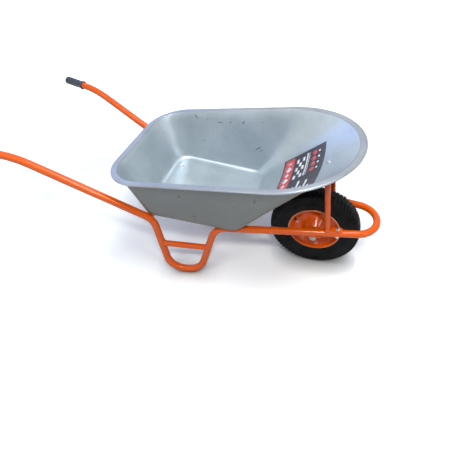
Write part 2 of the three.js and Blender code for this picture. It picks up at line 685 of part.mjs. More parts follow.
/** A hanger: an upright ear that holds the axle, folded outwards under the rail. */
function addAxleBracket(name, side) {
  const top = RAIL_HEIGHT - TUBE.radius - GAP - WHEEL.radius;
  const half = BRACKET.topLength / 2;
  const ear = new THREE.Shape();
  ear.moveTo(-half, top);
  ear.lineTo(-half, top - BRACKET.sheet);
  ear.lineTo(-BRACKET.endRadius, 0);
  ear.absarc(0, 0, BRACKET.endRadius, Math.PI, 2 * Math.PI, false);
  ear.lineTo(half, top - BRACKET.sheet);
  ear.lineTo(half, top);
  ear.closePath();
  const upright = plate(ear, BRACKET.sheet, [[0, 0, AXLE.radius + GAP]]).rotateX(Math.PI / 2);
  upright.translate(0, side > 0 ? BRACKET.insideY + BRACKET.sheet : -BRACKET.insideY, WHEEL.radius);
  const outside = sideY(0) + TUBE.radius / 2;
  const flange = new THREE.BoxGeometry(BRACKET.topLength, outside - BRACKET.insideY, BRACKET.sheet);
  flange.translate(0, (side * (outside + BRACKET.insideY)) / 2, WHEEL.radius + top - BRACKET.sheet / 2);
  addPart(`${name}_axle_bracket`, combine([upright, flange]), paint);
}

/** The clear bore of everything that sits on the axle. */
const AXLE_BORE = AXLE.radius / Math.cos(Math.PI / BEARING_FACETS) ** 2 + GAP;

/** The radii of a bearing's races: the inner race's outside, and the outer race's inside and outside. */
const INNER_RACE = AXLE_BORE + BEARING.innerRace;
const TRACK_EDGE = INNER_RACE + BEARING.track;
const OUTER_RACE = { inside: TRACK_EDGE, outside: TRACK_EDGE + BEARING.outerRace };

const HUB_BEARING = { low: HUB.reach - RIM.sheet / 2 - BEARING.width, high: HUB.reach - RIM.sheet / 2 };

/** Adds a spacer or washer that sits on the axle, from one Y to another. */
function addAxleRing(name, outside, low, high) {
  const geometry = ring(AXLE_BORE, outside, low, high, BEARING_FACETS);
  addPart(name, geometry.translate(0, 0, WHEEL.radius), zinc);
}

/** The axle and what it carries: spacers, washers and nuts. */
function addAxle() {
  const washerFace = BRACKET.insideY + BRACKET.sheet + GAP;
  const nutFace = washerFace + AXLE.washer + GAP;
  const end = nutFace + AXLE.nutHeight + AXLE.tail;
  addAxleRing("bearing_spacer", INNER_RACE, -HUB_BEARING.low + GAP, HUB_BEARING.low - GAP);
  const axle = bar(AXLE.radius, -end, end, BEARING_FACETS).rotateX(Math.PI / 2);
  addPart("axle", axle.translate(0, 0, WHEEL.radius), zinc);
  for (const [name, side] of Object.entries(SIDES)) {
    const mirrored = (low, high) => (side > 0 ? [low, high] : [-high, -low]);
    const spacer = mirrored(HUB_BEARING.high + GAP, BRACKET.insideY - GAP);
    addAxleRing(`${name}_axle_spacer`, INNER_RACE, ...spacer);
    const washer = mirrored(washerFace, washerFace + AXLE.washer);
    addAxleRing(`${name}_axle_washer`, AXLE.washerRadius, ...washer);
    const nut = addPart(`${name}_axle_nut`, nutGeometry(AXLE.nutAcross, AXLE.nutHeight, AXLE_BORE), zinc);
    const inwards = ALONG_AXLE.clone().multiplyScalar(-side);
    standAlong(nut, new THREE.Vector3(0, side * nutFace, WHEEL.radius), inwards);
  }
}

// ---------------------------------------------------------------- bearings

/** A race's profile: a ring with a ball groove in its inner or outer face. */
function raceProfile(flat, grooved, depth) {
  const half = BEARING.width / 2;
  const groove = BEARING.ball + GAP;
  return [
    [flat, -half],
    [flat, half],
    [grooved, half],
    [grooved, groove],
    [grooved + depth, groove / 2],
    [grooved + depth, -groove / 2],
    [grooved, -groove],
    [grooved, -half],
  ];
}

function addBearing(name, side) {
  const middle = side * (HUB_BEARING.low + BEARING.width / 2);
  const pitch = INNER_RACE + BEARING.track / 2;
  const depth = BEARING.ball + GAP - BEARING.track / 2;
  const inner = turned(raceProfile(AXLE_BORE, INNER_RACE, -depth), BEARING_FACETS);
  addPart(`${name}_bearing_inner_race`, inner.translate(0, middle, WHEEL.radius), bearingSteel);
  const outer = turned(raceProfile(OUTER_RACE.outside, OUTER_RACE.inside, depth), WHEEL.segments);
  addPart(`${name}_bearing_outer_race`, outer.translate(0, middle, 0), bearingSteel, wheel);
  const wall = BEARING.cage / 2;
  const cage = ring(pitch - wall, pitch + wall, -BEARING.ball, BEARING.ball, 2 * BEARING.balls);
  const balls = Array.from({ length: BEARING.balls }, (_, i) => {
    const angle = (2 * Math.PI * i) / BEARING.balls;
    const ball = new THREE.SphereGeometry(BEARING.ball, 6, 4);
    return ball.translate(pitch * Math.cos(angle), 0, pitch * Math.sin(angle));
  });
  addPart(`${name}_ball_cage`, combine([cage, ...balls]).translate(0, middle, 0), bearingSteel, wheel);
}

// ---------------------------------------------------------------- rim, tyre, inner tube and valve

/** The middle line of a rim half's sheet: from the bearing's seat over the boss to the flange. */
function rimHalfLine() {
  const face = (RIM.sheet + GAP) / 2;
  const cup = OUTER_RACE.outside + GAP + RIM.sheet / 2;
  const cupFloor = HUB_BEARING.low - GAP - RIM.sheet / 2;
  const edge = (RIM.width - RIM.sheet) / 2;
  return [
    [OUTER_RACE.inside + HUB.shoulder, cupFloor],
    [cup, cupFloor],
    [cup, HUB.reach],
    [cup + HUB.crown, HUB.reach],
    [RIM.bossRadius - RIM.bossSlope, face + RIM.bossSlope],
    [RIM.bossRadius + RIM.bossSlope / 2, face],
    [RIM.wellRadius, face],
    [RIM.seatRadius - RIM.wellSlope, edge - RIM.seatWidth - RIM.wellSlope],
    [RIM.seatRadius, edge - RIM.seatWidth],
    [RIM.seatRadius + RIM.seatTaper, edge],
    [RIM.flangeRadius, edge],
  ];
}

/** The place and direction of the valve on the right half of the rim, on the slope beside the well. */
function valveSeat() {
  const [low, high] = rimHalfLine().slice(6, 8);
  const angle = THREE.MathUtils.degToRad(VALVE.angle);
  const radial = new THREE.Vector3(Math.cos(angle), 0, Math.sin(angle));
  const place = (radius, y) => radial.clone().multiplyScalar(radius).setY(-y);
  const inwards = place(low[1] - high[1], high[0] - low[0]).normalize();
  return { point: place((low[0] + high[0]) / 2, (low[1] + high[1]) / 2), inwards };
}

/** The places of the bolts that clamp the rim's halves. */
function rimBoltPlaces() {
  return Array.from({ length: RIM.bolts }, (_, i) => {
    const angle = THREE.MathUtils.degToRad(RIM.firstBoltAngle) + (2 * Math.PI * i) / RIM.bolts;
    return new THREE.Vector3(RIM.boltCircle * Math.cos(angle), 0, RIM.boltCircle * Math.sin(angle));
  });
}

function addRim() {
  const half = turned(sheetOutline(rimHalfLine(), RIM.sheet), WHEEL.segments);
  const holes = rimBoltPlaces().map((place) => drill(place, ALONG_AXLE, M8.hole, 3 * RIM.sheet));
  const { point, inwards } = valveSeat();
  const valveHole = drill(point, inwards, VALVE.radius + GAP, 3 * RIM.sheet);
  addPart("left_rim_half", combine([half], holes), paint, wheel);
  const right = half.clone().rotateX(Math.PI);
  addPart("right_rim_half", combine([right], [...holes, valveHole]), paint, wheel);
  rimBoltPlaces().forEach((place, i) => {
    const stack = 2 * RIM.sheet + GAP;
    const head = addPart(`rim_bolt_${i + 1}`, boltGeometry(M8, stack), paint, wheel);
    const face = stack / 2 + GAP;
    standAlong(head, place.clone().setY(-face), ALONG_AXLE.clone().negate());
    const nut = addPart(`rim_nut_${i + 1}`, nutGeometry(M8.across, M8.nut, M8.shank + GAP), paint, wheel);
    standAlong(nut, place.clone().setY(face), ALONG_AXLE.clone().negate());
  });
}

/** The half sections of the tyre's outside and inside, from the crown to the bead. */
function tyreLines() {
  const half = WHEEL.width / 2;
  const bead = RIM.seatRadius + RIM.seatTaper + RIM.sheet / 2 + GAP;
  const beadOut = RIM.width / 2 - RIM.sheet - GAP;
  const widest = WHEEL.radius - TYRE.widestDepth;
  const flank = [WHEEL.radius - TYRE.flankDepth, half - TYRE.flankInset];
  const outside = [
    [WHEEL.radius, 0],
    [WHEEL.radius - TYRE.crownDrop, TYRE.treadHalfWidth],
    [WHEEL.radius - TYRE.shoulderDrop, half - TYRE.shoulderInset],
    [widest, half],
    flank,
    [RIM.flangeRadius + 4 * GAP, beadOut],
    [bead, beadOut],
  ];
  const inside = [
    [bead, beadOut - TYRE.beadWidth],
    [flank[0], flank[1] - TYRE.sidewall],
    [widest, half - TYRE.sidewall],
    [WHEEL.radius - TYRE.crown - TYRE.crownDrop, TYRE.treadHalfWidth - TYRE.shoulderInset],
    [WHEEL.radius - TYRE.crown, 0],
  ];
  return { outside, inside };
}

function addTyre() {
  const { outside, inside } = tyreLines();
  const mirrored = (points) => points.slice().reverse().map(([radius, y]) => [radius, -y]);
  const outline = [...mirrored(outside), ...outside.slice(1), ...inside.slice(0, -1), ...mirrored(inside)];
  addPart("tyre", turned(outline, WHEEL.segments), rubber, wheel);
}

/** The inflated inner tube fills the space between the tyre and the rim; its valve hole opens it. */
function addInnerTube() {
  const [bead, , widest, shoulder, top] = tyreLines().inside;
  const clear = 2 * GAP;
  const skin = [
    [RIM.seatRadius + 2, INNER_TUBE.neck],
    [bead[0] + 6, bead[1] - 4],
    [widest[0], widest[1] - clear],
    [shoulder[0] - clear, shoulder[1] - 2 * clear],
    [top[0] - 3 * clear, 4],
  ];
  const around = (line) => [...line, ...line.slice().reverse().map(([radius, y]) => [radius, -y])];
  const middle = (widest[0] + bead[0]) / 2;
  const shrink = (p) => {
    const arm = new THREE.Vector2(p[0] - middle, p[1]);
    return arm.multiplyScalar(1 - INNER_TUBE.wall / arm.length()).add(new THREE.Vector2(middle, 0)).toArray();
  };
  const outer = turned(around(skin), WHEEL.segments);
  const hollow = turned(around(skin.map(shrink)), WHEEL.segments);
  const { point, inwards } = valveSeat();
  const root = point.clone().addScaledVector(inwards, -VALVE.root);
  const hole = drill(root, inwards, VALVE.radius + GAP, VALVE.root);
  addPart("inner_tube", combine([outer], [hollow, hole]), tubeRubber, wheel);
}

function addValve() {
  const { point, inwards } = valveSeat();
  const collar = bar(VALVE.radius + VALVE_COLLAR.flange, VALVE_COLLAR.from, VALVE_COLLAR.to);
  const stem = combine([bar(VALVE.radius, -VALVE.root, VALVE.reach), collar]);
  standAlong(addPart("valve_stem", stem, tubeRubber, wheel), point, inwards);
  const bore = VALVE.radius / Math.cos(Math.PI / SMALL_FACETS) ** 2 + GAP;
  const outside = bore + VALVE.capWall;
  const end = VALVE.capLength - VALVE.capWall;
  const profile = [
    [0, VALVE.capLength],
    [outside, VALVE.capLength],
    [outside, 0],
    [bore, 0],
    [bore, end],
    [0, end],
  ];
  const cap = turned(profile, SMALL_FACETS).rotateX(Math.PI / 2);
  const seat = point.clone().addScaledVector(inwards, VALVE.reach + GAP - end);
  standAlong(addPart("valve_cap", cap, brass, wheel), seat, inwards);
}

// ---------------------------------------------------------------- assembly

for (const [name, side] of Object.entries(SIDES)) {
  addSideTube(name, side);
  addGrip(name, side);
  addBrace(name, side);
  addSpigot(name, side);
  addStayBolt(name, side);
  addAxleBracket(name, side);
  addBearing(name, side);
}
addFrontLoop();
addStay();
addTray();
addRearCrossBar();
addFrontCrossBar();
addTrayBolts();
addAxle();
addRim();
addTyre();
addInnerTube();
addValve();

const box = new THREE.Box3().setFromObject(barrow, true);
barrow.position.x = -(box.min.x + box.max.x) / 2;

export default barrow;
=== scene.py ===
"""The looks of a single-wheel builder's wheelbarrow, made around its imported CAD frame.

Lengths are in metres. +X is forwards, +Y is the pusher's left and +Z is up. Each assembly measures X
from the wheel's axle, as a fitter would, and Shop.at() moves its points to where the frame has them.
"""

from __future__ import annotations

import json
import logging
import math
from dataclasses import dataclass, field
from enum import Enum
from typing import Callable, Iterable, Sequence

import bmesh
import bpy
from bmesh.types import BMEdge, BMesh, BMVert
from mathutils import Matrix, Quaternion, Vector, noise
from mathutils.bvhtree import BVHTree

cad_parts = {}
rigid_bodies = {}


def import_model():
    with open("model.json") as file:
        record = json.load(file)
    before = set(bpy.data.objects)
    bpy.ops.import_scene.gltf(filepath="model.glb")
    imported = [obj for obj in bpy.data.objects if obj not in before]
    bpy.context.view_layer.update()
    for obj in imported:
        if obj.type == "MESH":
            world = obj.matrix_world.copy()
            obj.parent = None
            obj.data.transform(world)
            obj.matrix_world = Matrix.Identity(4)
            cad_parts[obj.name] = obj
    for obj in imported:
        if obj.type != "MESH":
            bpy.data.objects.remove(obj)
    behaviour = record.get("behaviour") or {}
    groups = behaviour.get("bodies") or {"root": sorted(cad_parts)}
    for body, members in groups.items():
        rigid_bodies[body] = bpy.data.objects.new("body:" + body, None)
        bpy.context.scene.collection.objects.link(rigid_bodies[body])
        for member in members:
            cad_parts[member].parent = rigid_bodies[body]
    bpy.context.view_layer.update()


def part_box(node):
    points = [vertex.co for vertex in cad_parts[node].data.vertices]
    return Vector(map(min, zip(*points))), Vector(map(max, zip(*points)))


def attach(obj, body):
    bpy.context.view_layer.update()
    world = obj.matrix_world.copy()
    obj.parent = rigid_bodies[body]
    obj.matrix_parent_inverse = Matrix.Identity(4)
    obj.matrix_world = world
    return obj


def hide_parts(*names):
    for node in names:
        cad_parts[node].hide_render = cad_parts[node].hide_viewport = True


LOG = logging.getLogger("wheelbarrow")
UP = Vector((0.0, 0.0, 1.0))
ALONG_AXLE = Vector((0.0, 1.0, 0.0))
FORWARDS = Vector((1.0, 0.0, 0.0))
SMOOTH_ANGLE = math.radians(32)
GAP = 0.0003  # between pieces that touch
SAME_POINT = 1e-6  # points nearer than this are one
CAD_SEAM = 0.00001  # how far apart the corners of a CAD node's loose triangles may lie


class Body(Enum):
    """The two bodies that the pieces ride on."""

    FRAME = "frame"
    WHEEL = "wheel"


class Side(Enum):
    """The two sides of the barrow, by the sign of Y."""

    LEFT = 1
    RIGHT = -1

    @property
    def word(self) -> str:
        """The side's name in piece and node names."""
        return self.name.lower()


class Slot(Enum):
    """The finishes that the record names."""

    PAINT = "paint"
    GALVANISED = "galvanised"
    ZINC = "zinc"
    BEARING_STEEL = "bearing_steel"
    TYRE_RUBBER = "tyre_rubber"
    TUBE_RUBBER = "tube_rubber"
    GRIP = "grip"
    BRASS = "brass"


# ------------------------ colours and nodes


def colour(code: str) -> tuple[float, float, float, float]:
    """Turns an sRGB hex code into the linear colour that a shader takes.

    Args:
        code: six hex digits, with or without a leading hash.

    Returns:
        Linear red, green and blue, and an alpha of 1.
    """
    digits = code.lstrip("#")
    parts = [int(digits[i : i + 2], 16) / 255 for i in (0, 2, 4)]
    linear = [p / 12.92 if p <= 0.04045 else ((p + 0.055) / 1.055) ** 2.4 for p in parts]
    return (*linear, 1.0)


def add_node(
    tree: bpy.types.NodeTree,
    kind: str,
    inputs: dict[str | int, object] | None = None,
    stops: Sequence[tuple[float, object]] = (),
    **settings: object,
) -> bpy.types.Node:
    """Adds a shader node with its settings, values and links.

    Args:
        tree: the material's or world's node tree.
        kind: the node's type name, without its ShaderNode prefix.
        inputs: each input's name or number, with the value or the output socket that it takes.
        stops: the places and colours of a colour ramp.
        **settings: the node's own properties.

    Returns:
        The new node.
    """
    node = tree.nodes.new(f"ShaderNode{kind}")
    for name, value in settings.items():
        setattr(node, name, value)
    for key, value in (inputs or {}).items():
        socket = node.inputs[key]
        if isinstance(value, bpy.types.NodeSocket):
            tree.links.new(value, socket)
        else:
            socket.default_value = value
    if stops:
        elements = node.color_ramp.elements
        while len(elements) < len(stops):
            elements.new(0.5)
        for element, (place, shade) in zip(elements, stops):
            element.position = place
            element.color = colour(shade) if isinstance(shade, str) else (shade, shade, shade, 1.0)
    return node


# ------------------------ finishes


@dataclass(frozen=True)
class Canvas:
    """A material in the making: its node tree, its shader and the coordinates to draw in."""

    tree: bpy.types.NodeTree
    shader: bpy.types.Node
    place: bpy.types.NodeSocket

    def feed(self, name: str, socket: bpy.types.NodeSocket) -> None:
        """Links a socket to one of the shader's inputs."""
        self.tree.links.new(socket, self.shader.inputs[name])

    def scaled(self, size: float, **more: float) -> dict[str | int, object]:
        """A pattern's inputs, for details of a size in metres."""
        return {"Vector": self.place, "Scale": 1 / size, **more}


@dataclass(frozen=True)
class Finish:
    """A surface finish. Each kind of finish draws its own detail in dress().

    Attributes:
        name: the material's name.
        slot: the record's slot that the finish belongs to, if it has one.
        base: the sRGB base colour.
        metallic: how much of the surface is bare metal.
        roughness: the mean roughness.
    """

    name: str
    slot: Slot | None
    base: str
    metallic: float
    roughness: float

    def material(self) -> bpy.types.Material:
        """Makes the finish's material the first time, and finds it again after that.

        Returns:
            The material.
        """
        made = bpy.data.materials.get(self.name)
        if made:
            return made
        made = bpy.data.materials.new(self.name)
        made.use_nodes = True
        tree = made.node_tree
        shader = tree.nodes["Principled BSDF"]
        shader.inputs["Base Color"].default_value = colour(self.base)
        shader.inputs["Metallic"].default_value = self.metallic
        shader.inputs["Roughness"].default_value = self.roughness
        self.dress(Canvas(tree, shader, add_node(tree, "TexCoord").outputs["Object"]))
        return made

    def dress(self, canvas: Canvas) -> None:
        """Draws the finish's detail. A plain finish has none."""

    def mottle(
        self,
        canvas: Canvas,
        size: float,
        low: object,
        high: object,
        detail: float = 4.0,
        span: tuple[float, float] = (0.3, 0.7),
    ) -> bpy.types.NodeSocket:
        """Draws soft patches.

        Args:
            canvas: the material.
            size: the patches' size in metres.
            low: the colour or grey of the lowest patches.
            high: the colour or grey of the highest patches.
            detail: how many finer layers the patches have.
            span: the noise values that low and high stand at.

        Returns:
            The colour socket of the patches.
        """
        cloud = add_node(canvas.tree, "TexNoise", canvas.scaled(size, Detail=detail))
        stops = [(span[0], low), (span[1], high)]
        return add_node(canvas.tree, "ValToRGB", {0: cloud.outputs["Fac"]}, stops).outputs["Color"]

    def rough(self, canvas: Canvas, height: bpy.types.NodeSocket, depth: float) -> None:
        """Gives the shader a bump of a depth in metres."""
        bump = add_node(canvas.tree, "Bump", {"Height": height, "Distance": depth, "Strength": 1.0})
        canvas.feed("Normal", bump.outputs["Normal"])


@dataclass(frozen=True)
class PowderCoat(Finish):
    """Polyester powder coat on steel, sprayed and baked: an even satin gloss with a faint orange peel.

    The peel is drawn 2.8 mm across, coarser than most, so that it shows.
    """

    peel: float = 0.0028  # a dimple's width
    shade: str = "#D45505"
    peel_depth: float = 0.00006
    cloud: float = 0.09  # patches of colour
    haze: float = 0.035  # patches of gloss
    spread: tuple[float, float] = (-0.03, 0.05)  # of the roughness, about its mean
    specular: float = 0.28

    def dress(self, canvas: Canvas) -> None:
        """Draws uneven film thickness as tone and the orange peel as bump.

        Args:
            canvas: the material.
        """
        tone = self.mottle(canvas, self.cloud, self.shade, self.base, 3.0)
        canvas.feed("Base Color", tone)
        low, high = (self.roughness + step for step in self.spread)
        dulled = self.mottle(canvas, self.haze, low, high, 5.0)
        canvas.feed("Roughness", dulled)
        peel = add_node(canvas.tree, "TexNoise", canvas.scaled(self.peel, Detail=1.0))
        self.rough(canvas, peel.outputs["Fac"], self.peel_depth)
        canvas.shader.inputs["Specular IOR Level"].default_value = self.specular


@dataclass(frozen=True)
class Rub:
    """A dark rub mark on the sheet, as handling and stacking leave.

    Attributes:
        middle: its place in the frame's coordinates, in metres.
        length: its half length along the wall.
        width: its half width.
        lean: how far its long side turns up from level, in degrees.
        strength: how dark it is, from 0 to 1.
    """

    middle: tuple[float, float, float]
    length: float
    width: float
    lean: float
    strength: float


@dataclass(frozen=True)
class GalvanisedSheet(Finish):
    """Zinc-coated sheet, pressed: satin grey, with frosty zinc crystals, soft wipe marks and a few scuffs.

    The crystals are drawn 10 mm across, the coarse end of what a hot dip gives, so that they show.
    """

    crystal: float = 0.010
    dull: str = "#A1ADB4"
    bright: str = "#B3BEC5"
    scuff: str = "#5C6266"
    rubs: tuple[Rub, ...] = ()
    rub_depth: float = 0.03  # a mark's reach through the wall, so that it follows its curve
    tear: float = 0.005263  # ragged gaps in a mark
    wipe: float = 0.14286  # cloudy wipe marks
    contrast: float = 0.10  # a crystal's own tone, beside the wipe marks
    spread: tuple[float, float] = (-0.04, 0.06)  # of the roughness, about its mean
    wave: float = 0.09091  # the sheet's slight waves
    wave_depth: float = 0.0006

    def flange_painted_highlight(self, canvas: Canvas) -> bpy.types.NodeSocket:
        """Draws the rub marks, each a ragged streak that fades towards its rim.

        Args:
            canvas: the material.

        Returns:
            The socket of how dark the marks are.
        """
        shake = add_node(canvas.tree, "TexNoise", canvas.scaled(self.tear, Detail=3.0))
        depth: object = 0.0
        for rub in self.rubs:
            local = add_node(
                canvas.tree,
                "Mapping",
                {
                    "Vector": canvas.place,
                    "Location": rub.middle,
                    "Rotation": (0.0, -math.radians(rub.lean), 0.0),
                    "Scale": (rub.length, self.rub_depth, rub.width),
                },
                vector_type="TEXTURE",
            )
            reach = add_node(canvas.tree, "VectorMath", {0: local.outputs[0]}, operation="LENGTH")
            own = {0: reach.outputs["Value"], 1: -rub.strength, 2: rub.strength}
            fade = add_node(canvas.tree, "Math", own, operation="MULTIPLY_ADD")
            deeper = {0: fade.outputs[0], 1: depth}
            depth = add_node(canvas.tree, "Math", deeper, operation="MAXIMUM").outputs[0]
        ragged = add_node(canvas.tree, "Math", {0: depth, 1: shake.outputs["Fac"]}, operation="MULTIPLY")
        stops = [(0.03, 0.0), (0.30, 0.7)]
        return add_node(canvas.tree, "ValToRGB", {0: ragged.outputs[0]}, stops).outputs["Color"]

    def dress(self, canvas: Canvas) -> None:
        """Draws crystals, cloudy wipe marks, a few dark scuffs and the sheet's waves.

        Args:
            canvas: the material.
        """
        cells = add_node(canvas.tree, "TexVoronoi", canvas.scaled(self.crystal))
        grain = add_node(canvas.tree, "SeparateColor", {0: cells.outputs["Color"]}).outputs[0]
        cloud = add_node(canvas.tree, "TexNoise", canvas.scaled(self.wipe, Detail=4.0))
        parts = {0: grain, 1: self.contrast, 2: cloud.outputs["Fac"]}
        blend = add_node(canvas.tree, "Math", parts, operation="MULTIPLY_ADD").outputs[0]
        tone = add_node(canvas.tree, "ValToRGB", {0: blend}, [(0.35, self.dull), (0.75, self.bright)])
        layers = {0: self.flange_painted_highlight(canvas), 6: tone.outputs["Color"], 7: colour(self.scuff)}
        final = add_node(canvas.tree, "Mix", layers, data_type="RGBA")
        canvas.feed("Base Color", final.outputs[2])
        low, high = (self.roughness + step for step in self.spread)
        frost = add_node(canvas.tree, "ValToRGB", {0: blend}, [(0.35, low), (0.8, high)])
        canvas.feed("Roughness", frost.outputs["Color"])
        swell = add_node(canvas.tree, "TexNoise", canvas.scaled(self.wave, Detail=1.0))
        self.rough(canvas, swell.outputs["Fac"], self.wave_depth)


@dataclass(frozen=True)
class PlatedSteel(Finish):
    """Turned or forged steel with a thin plating: bright, with a fine grain and dull patches."""

    dull: str = "#8E9092"
    grain: float = 0.0016
    stain: float = 0.012  # dull patches
    haze: float = 0.006  # patches of gloss
    spread: tuple[float, float] = (-0.08, 0.14)  # of the roughness, about its mean
    grain_depth: float = 0.00005

    def dress(self, canvas: Canvas) -> None:
        """Draws the dull patches and the grain of the blank.

        Args:
            canvas: the material.
        """
        tone = self.mottle(canvas, self.stain, self.dull, self.base, 5.0)
        canvas.feed("Base Color", tone)
        low, high = (self.roughness + step for step in self.spread)
        dulled = self.mottle(canvas, self.haze, low, high)
        canvas.feed("Roughness", dulled)
        grain = add_node(canvas.tree, "TexNoise", canvas.scaled(self.grain, Detail=2.0))
        self.rough(canvas, grain.outputs["Fac"], self.grain_depth)


@dataclass(frozen=True)
class MouldedRubber(Finish):
    """Vulcanised carbon-black rubber from a mould: dull black, greyer where dust and bloom lie."""

    bloom: str = "#34373A"
    pore: float = 0.0022
    dust: float = 0.05
    dust_span: tuple[float, float] = (0.42, 0.74)  # the noise values where dust begins and is full
    haze: float = 0.03  # patches of gloss
    spread: tuple[float, float] = (-0.12, 0.12)  # of the roughness, about its mean
    pore_depth: float = 0.00018
    specular: float = 0.1

    def dress(self, canvas: Canvas) -> None:
        """Draws the bloom and the mould's fine skin.

        Args:
            canvas: the material.
        """
        tone = self.mottle(canvas, self.dust, self.base, self.bloom, 7.0, self.dust_span)
        canvas.feed("Base Color", tone)
        low, high = (self.roughness + step for step in self.spread)
        dulled = self.mottle(canvas, self.haze, low, high)
        canvas.feed("Roughness", dulled)
        canvas.shader.inputs["Specular IOR Level"].default_value = self.specular
        skin = add_node(canvas.tree, "TexNoise", canvas.scaled(self.pore, Detail=3.0))
        self.rough(canvas, skin.outputs["Fac"], self.pore_depth)


@dataclass(frozen=True)
class DippedPlastic(Finish):
    """Soft PVC, moulded as a sleeve: dark, a little blue, with a fine leather grain that catches light."""

    grain: float = 0.0019
    worn: str = "#39414F"
    palm: float = 0.03  # patches that hands have rubbed
    grain_depth: float = 0.00012

    def dress(self, canvas: Canvas) -> None:
        """Draws the leather grain and where hands have rubbed it pale.

        Args:
            canvas: the material.
        """
        tone = self.mottle(canvas, self.palm, self.base, self.worn, 3.0)
        canvas.feed("Base Color", tone)
        cells = add_node(canvas.tree, "TexVoronoi", canvas.scaled(self.grain))
        self.rough(canvas, cells.outputs["Distance"], self.grain_depth)


@dataclass(frozen=True)
class PrintedFilm(Finish):
    """Printed vinyl film under a clear layer: flat ink with a soft gloss."""

    faded: str = "#000000"
    fading: float = 0.02
    ripple: float = 0.016667
    ripple_depth: float = 0.0003
    clear: float = 0.4  # the clear layer
    clear_roughness: float = 0.2

    def dress(self, canvas: Canvas) -> None:
        """Draws slight fading and the ripples of a film laid by hand.

        Args:
            canvas: the material.
        """
        tone = self.mottle(canvas, self.fading, self.faded, self.base, 5.0)
        canvas.feed("Base Color", tone)
        ripple = add_node(canvas.tree, "TexNoise", canvas.scaled(self.ripple, Detail=1.0))
        self.rough(canvas, ripple.outputs["Fac"], self.ripple_depth)
        canvas.shader.inputs["Coat Weight"].default_value = self.clear
        canvas.shader.inputs["Coat Roughness"].default_value = self.clear_roughness


class Finishes:
    """Every finish on the barrow, and what each gives the eye."""

    # Powder coat on tubes, brackets and rim: a strong, even orange with narrow soft highlights.
    ORANGE = PowderCoat("orange_powder_coat", Slot.PAINT, "#DB5905", 0.0, 0.17)
    # The same coat, paler and duller, on the rim flange's edge: a painted highlight, a pale line between
    # paint and tyre.
    FLANGE_PAINTED_HIGHLIGHT = PowderCoat("orange_powder_coat_rubbed", Slot.PAINT, "#EBA078", 0.0, 0.3, shade="#DE8254")
    # The tray's inside, still new: pale blue-grey with frosty crystals and dark scuffs below the lip.
    SHEET = GalvanisedSheet(
        "galvanised_sheet_steel",
        Slot.GALVANISED,
        "#A9B4BB",
        0.60,
        0.33,
        rubs=(
            Rub((-0.100, 0.250, 0.507), 0.016, 0.006, -50.0, 0.9),
            Rub((-0.048, 0.248, 0.500), 0.007, 0.005, 70.0, 0.7),
            Rub((0.012, 0.246, 0.492), 0.022, 0.005, 0.0, 0.7),
            Rub((0.059, 0.247, 0.497), 0.008, 0.006, 0.0, 0.7),
            Rub((0.119, 0.248, 0.503), 0.010, 0.007, 60.0, 0.9),
            Rub((0.205, 0.250, 0.513), 0.007, 0.005, 20.0, 0.6),
            Rub((-0.066, 0.225, 0.400), 0.007, 0.006, 0.0, 0.7),
            Rub((0.190, 0.221, 0.394), 0.026, 0.006, 35.0, 0.7),
            Rub((0.204, 0.219, 0.386), 0.018, 0.004, 40.0, 0.6),
        ),
    )
    # The lip and the curl: a darker satin grey copy of the sheet, painted shade that draws the tray's
    # outline.
    EDGE = GalvanisedSheet(
        "galvanised_sheet_rolled_edge",
        Slot.GALVANISED,
        "#8F969F",
        0.55,
        0.36,
        dull="#878E97",
        bright="#99A0A9",
    )
    # The tray's outside: a flat, dark grey copy of the sheet that mirrors little, painted shade, with a few
    # dark scuffs.
    OUTSIDE_SHADE_AND_SCUFFS = GalvanisedSheet(
        "galvanised_sheet_weathered",
        Slot.GALVANISED,
        "#686D6D",
        0.35,
        0.5,
        dull="#626767",
        bright="#6F7474",
        scuff="#3A3C3C",
        rubs=(
            Rub((0.014, -0.242, 0.470), 0.014, 0.007, 80.0, 0.9),
            Rub((0.047, -0.213, 0.351), 0.010, 0.008, 0.0, 1.0),
            Rub((0.296, -0.249, 0.505), 0.020, 0.008, 80.0, 0.6),
            Rub((0.215, -0.247, 0.493), 0.012, 0.005, 10.0, 0.5),
        ),
    )
    # Zinc plating on bolts, nuts and washers: small bright points on tray and frame.
    ZINC = PlatedSteel("zinc_plated_steel", Slot.ZINC, "#E6E7E6", 0.95, 0.27, "#B2B3B3")
    # The same plating on the axle and its nuts, gone dull: a grey with a broad soft highlight.
    DULL_ZINC = PlatedSteel("dulled_zinc_plated_steel", Slot.ZINC, "#A2A4A5", 0.85, 0.42, "#6F7173")
    # Ground steel of the bearings: clean and mirror-like.
    BEARING = PlatedSteel("ground_bearing_steel", Slot.BEARING_STEEL, "#B4B6BA", 1.0, 0.2, "#85878B", 0.0009)
    # The tyre's rubber: a deep matt black that is a little greyer where dust lies.
    TYRE = MouldedRubber("black_tyre_rubber", Slot.TYRE_RUBBER, "#08090A", 0.0, 0.62, "#15171A")
    # Butyl of the inner tube and the valve's stem: a smoother, greyer black.
    BUTYL = MouldedRubber("black_butyl_rubber", Slot.TUBE_RUBBER, "#101112", 0.0, 0.5)
    # The grips' soft PVC: almost black, with a blue sheen along the top.
    GRIP = DippedPlastic("dark_soft_pvc", Slot.GRIP, "#1E232E", 0.0, 0.46)
    # Nickel on the valve's brass cap: one small warm glint.
    BRASS = PlatedSteel("nickel_plated_brass", Slot.BRASS, "#E2DCCB", 1.0, 0.25, "#B9AE93", 0.0009)
    # The label's inks on film: near black, a cold white and a faded red, each flat under a soft gloss.
    INK_BLACK = PrintedFilm("black_printed_film", None, "#24222A", 0.0, 0.42, "#33303A")
    INK_WHITE = PrintedFilm("white_printed_film", None, "#E4E6EC", 0.0, 0.42, "#C9CCD6")
    INK_RED = PrintedFilm("red_printed_film", None, "#B23A3E", 0.0, 0.42, "#C4585A")


# ------------------------ the shop


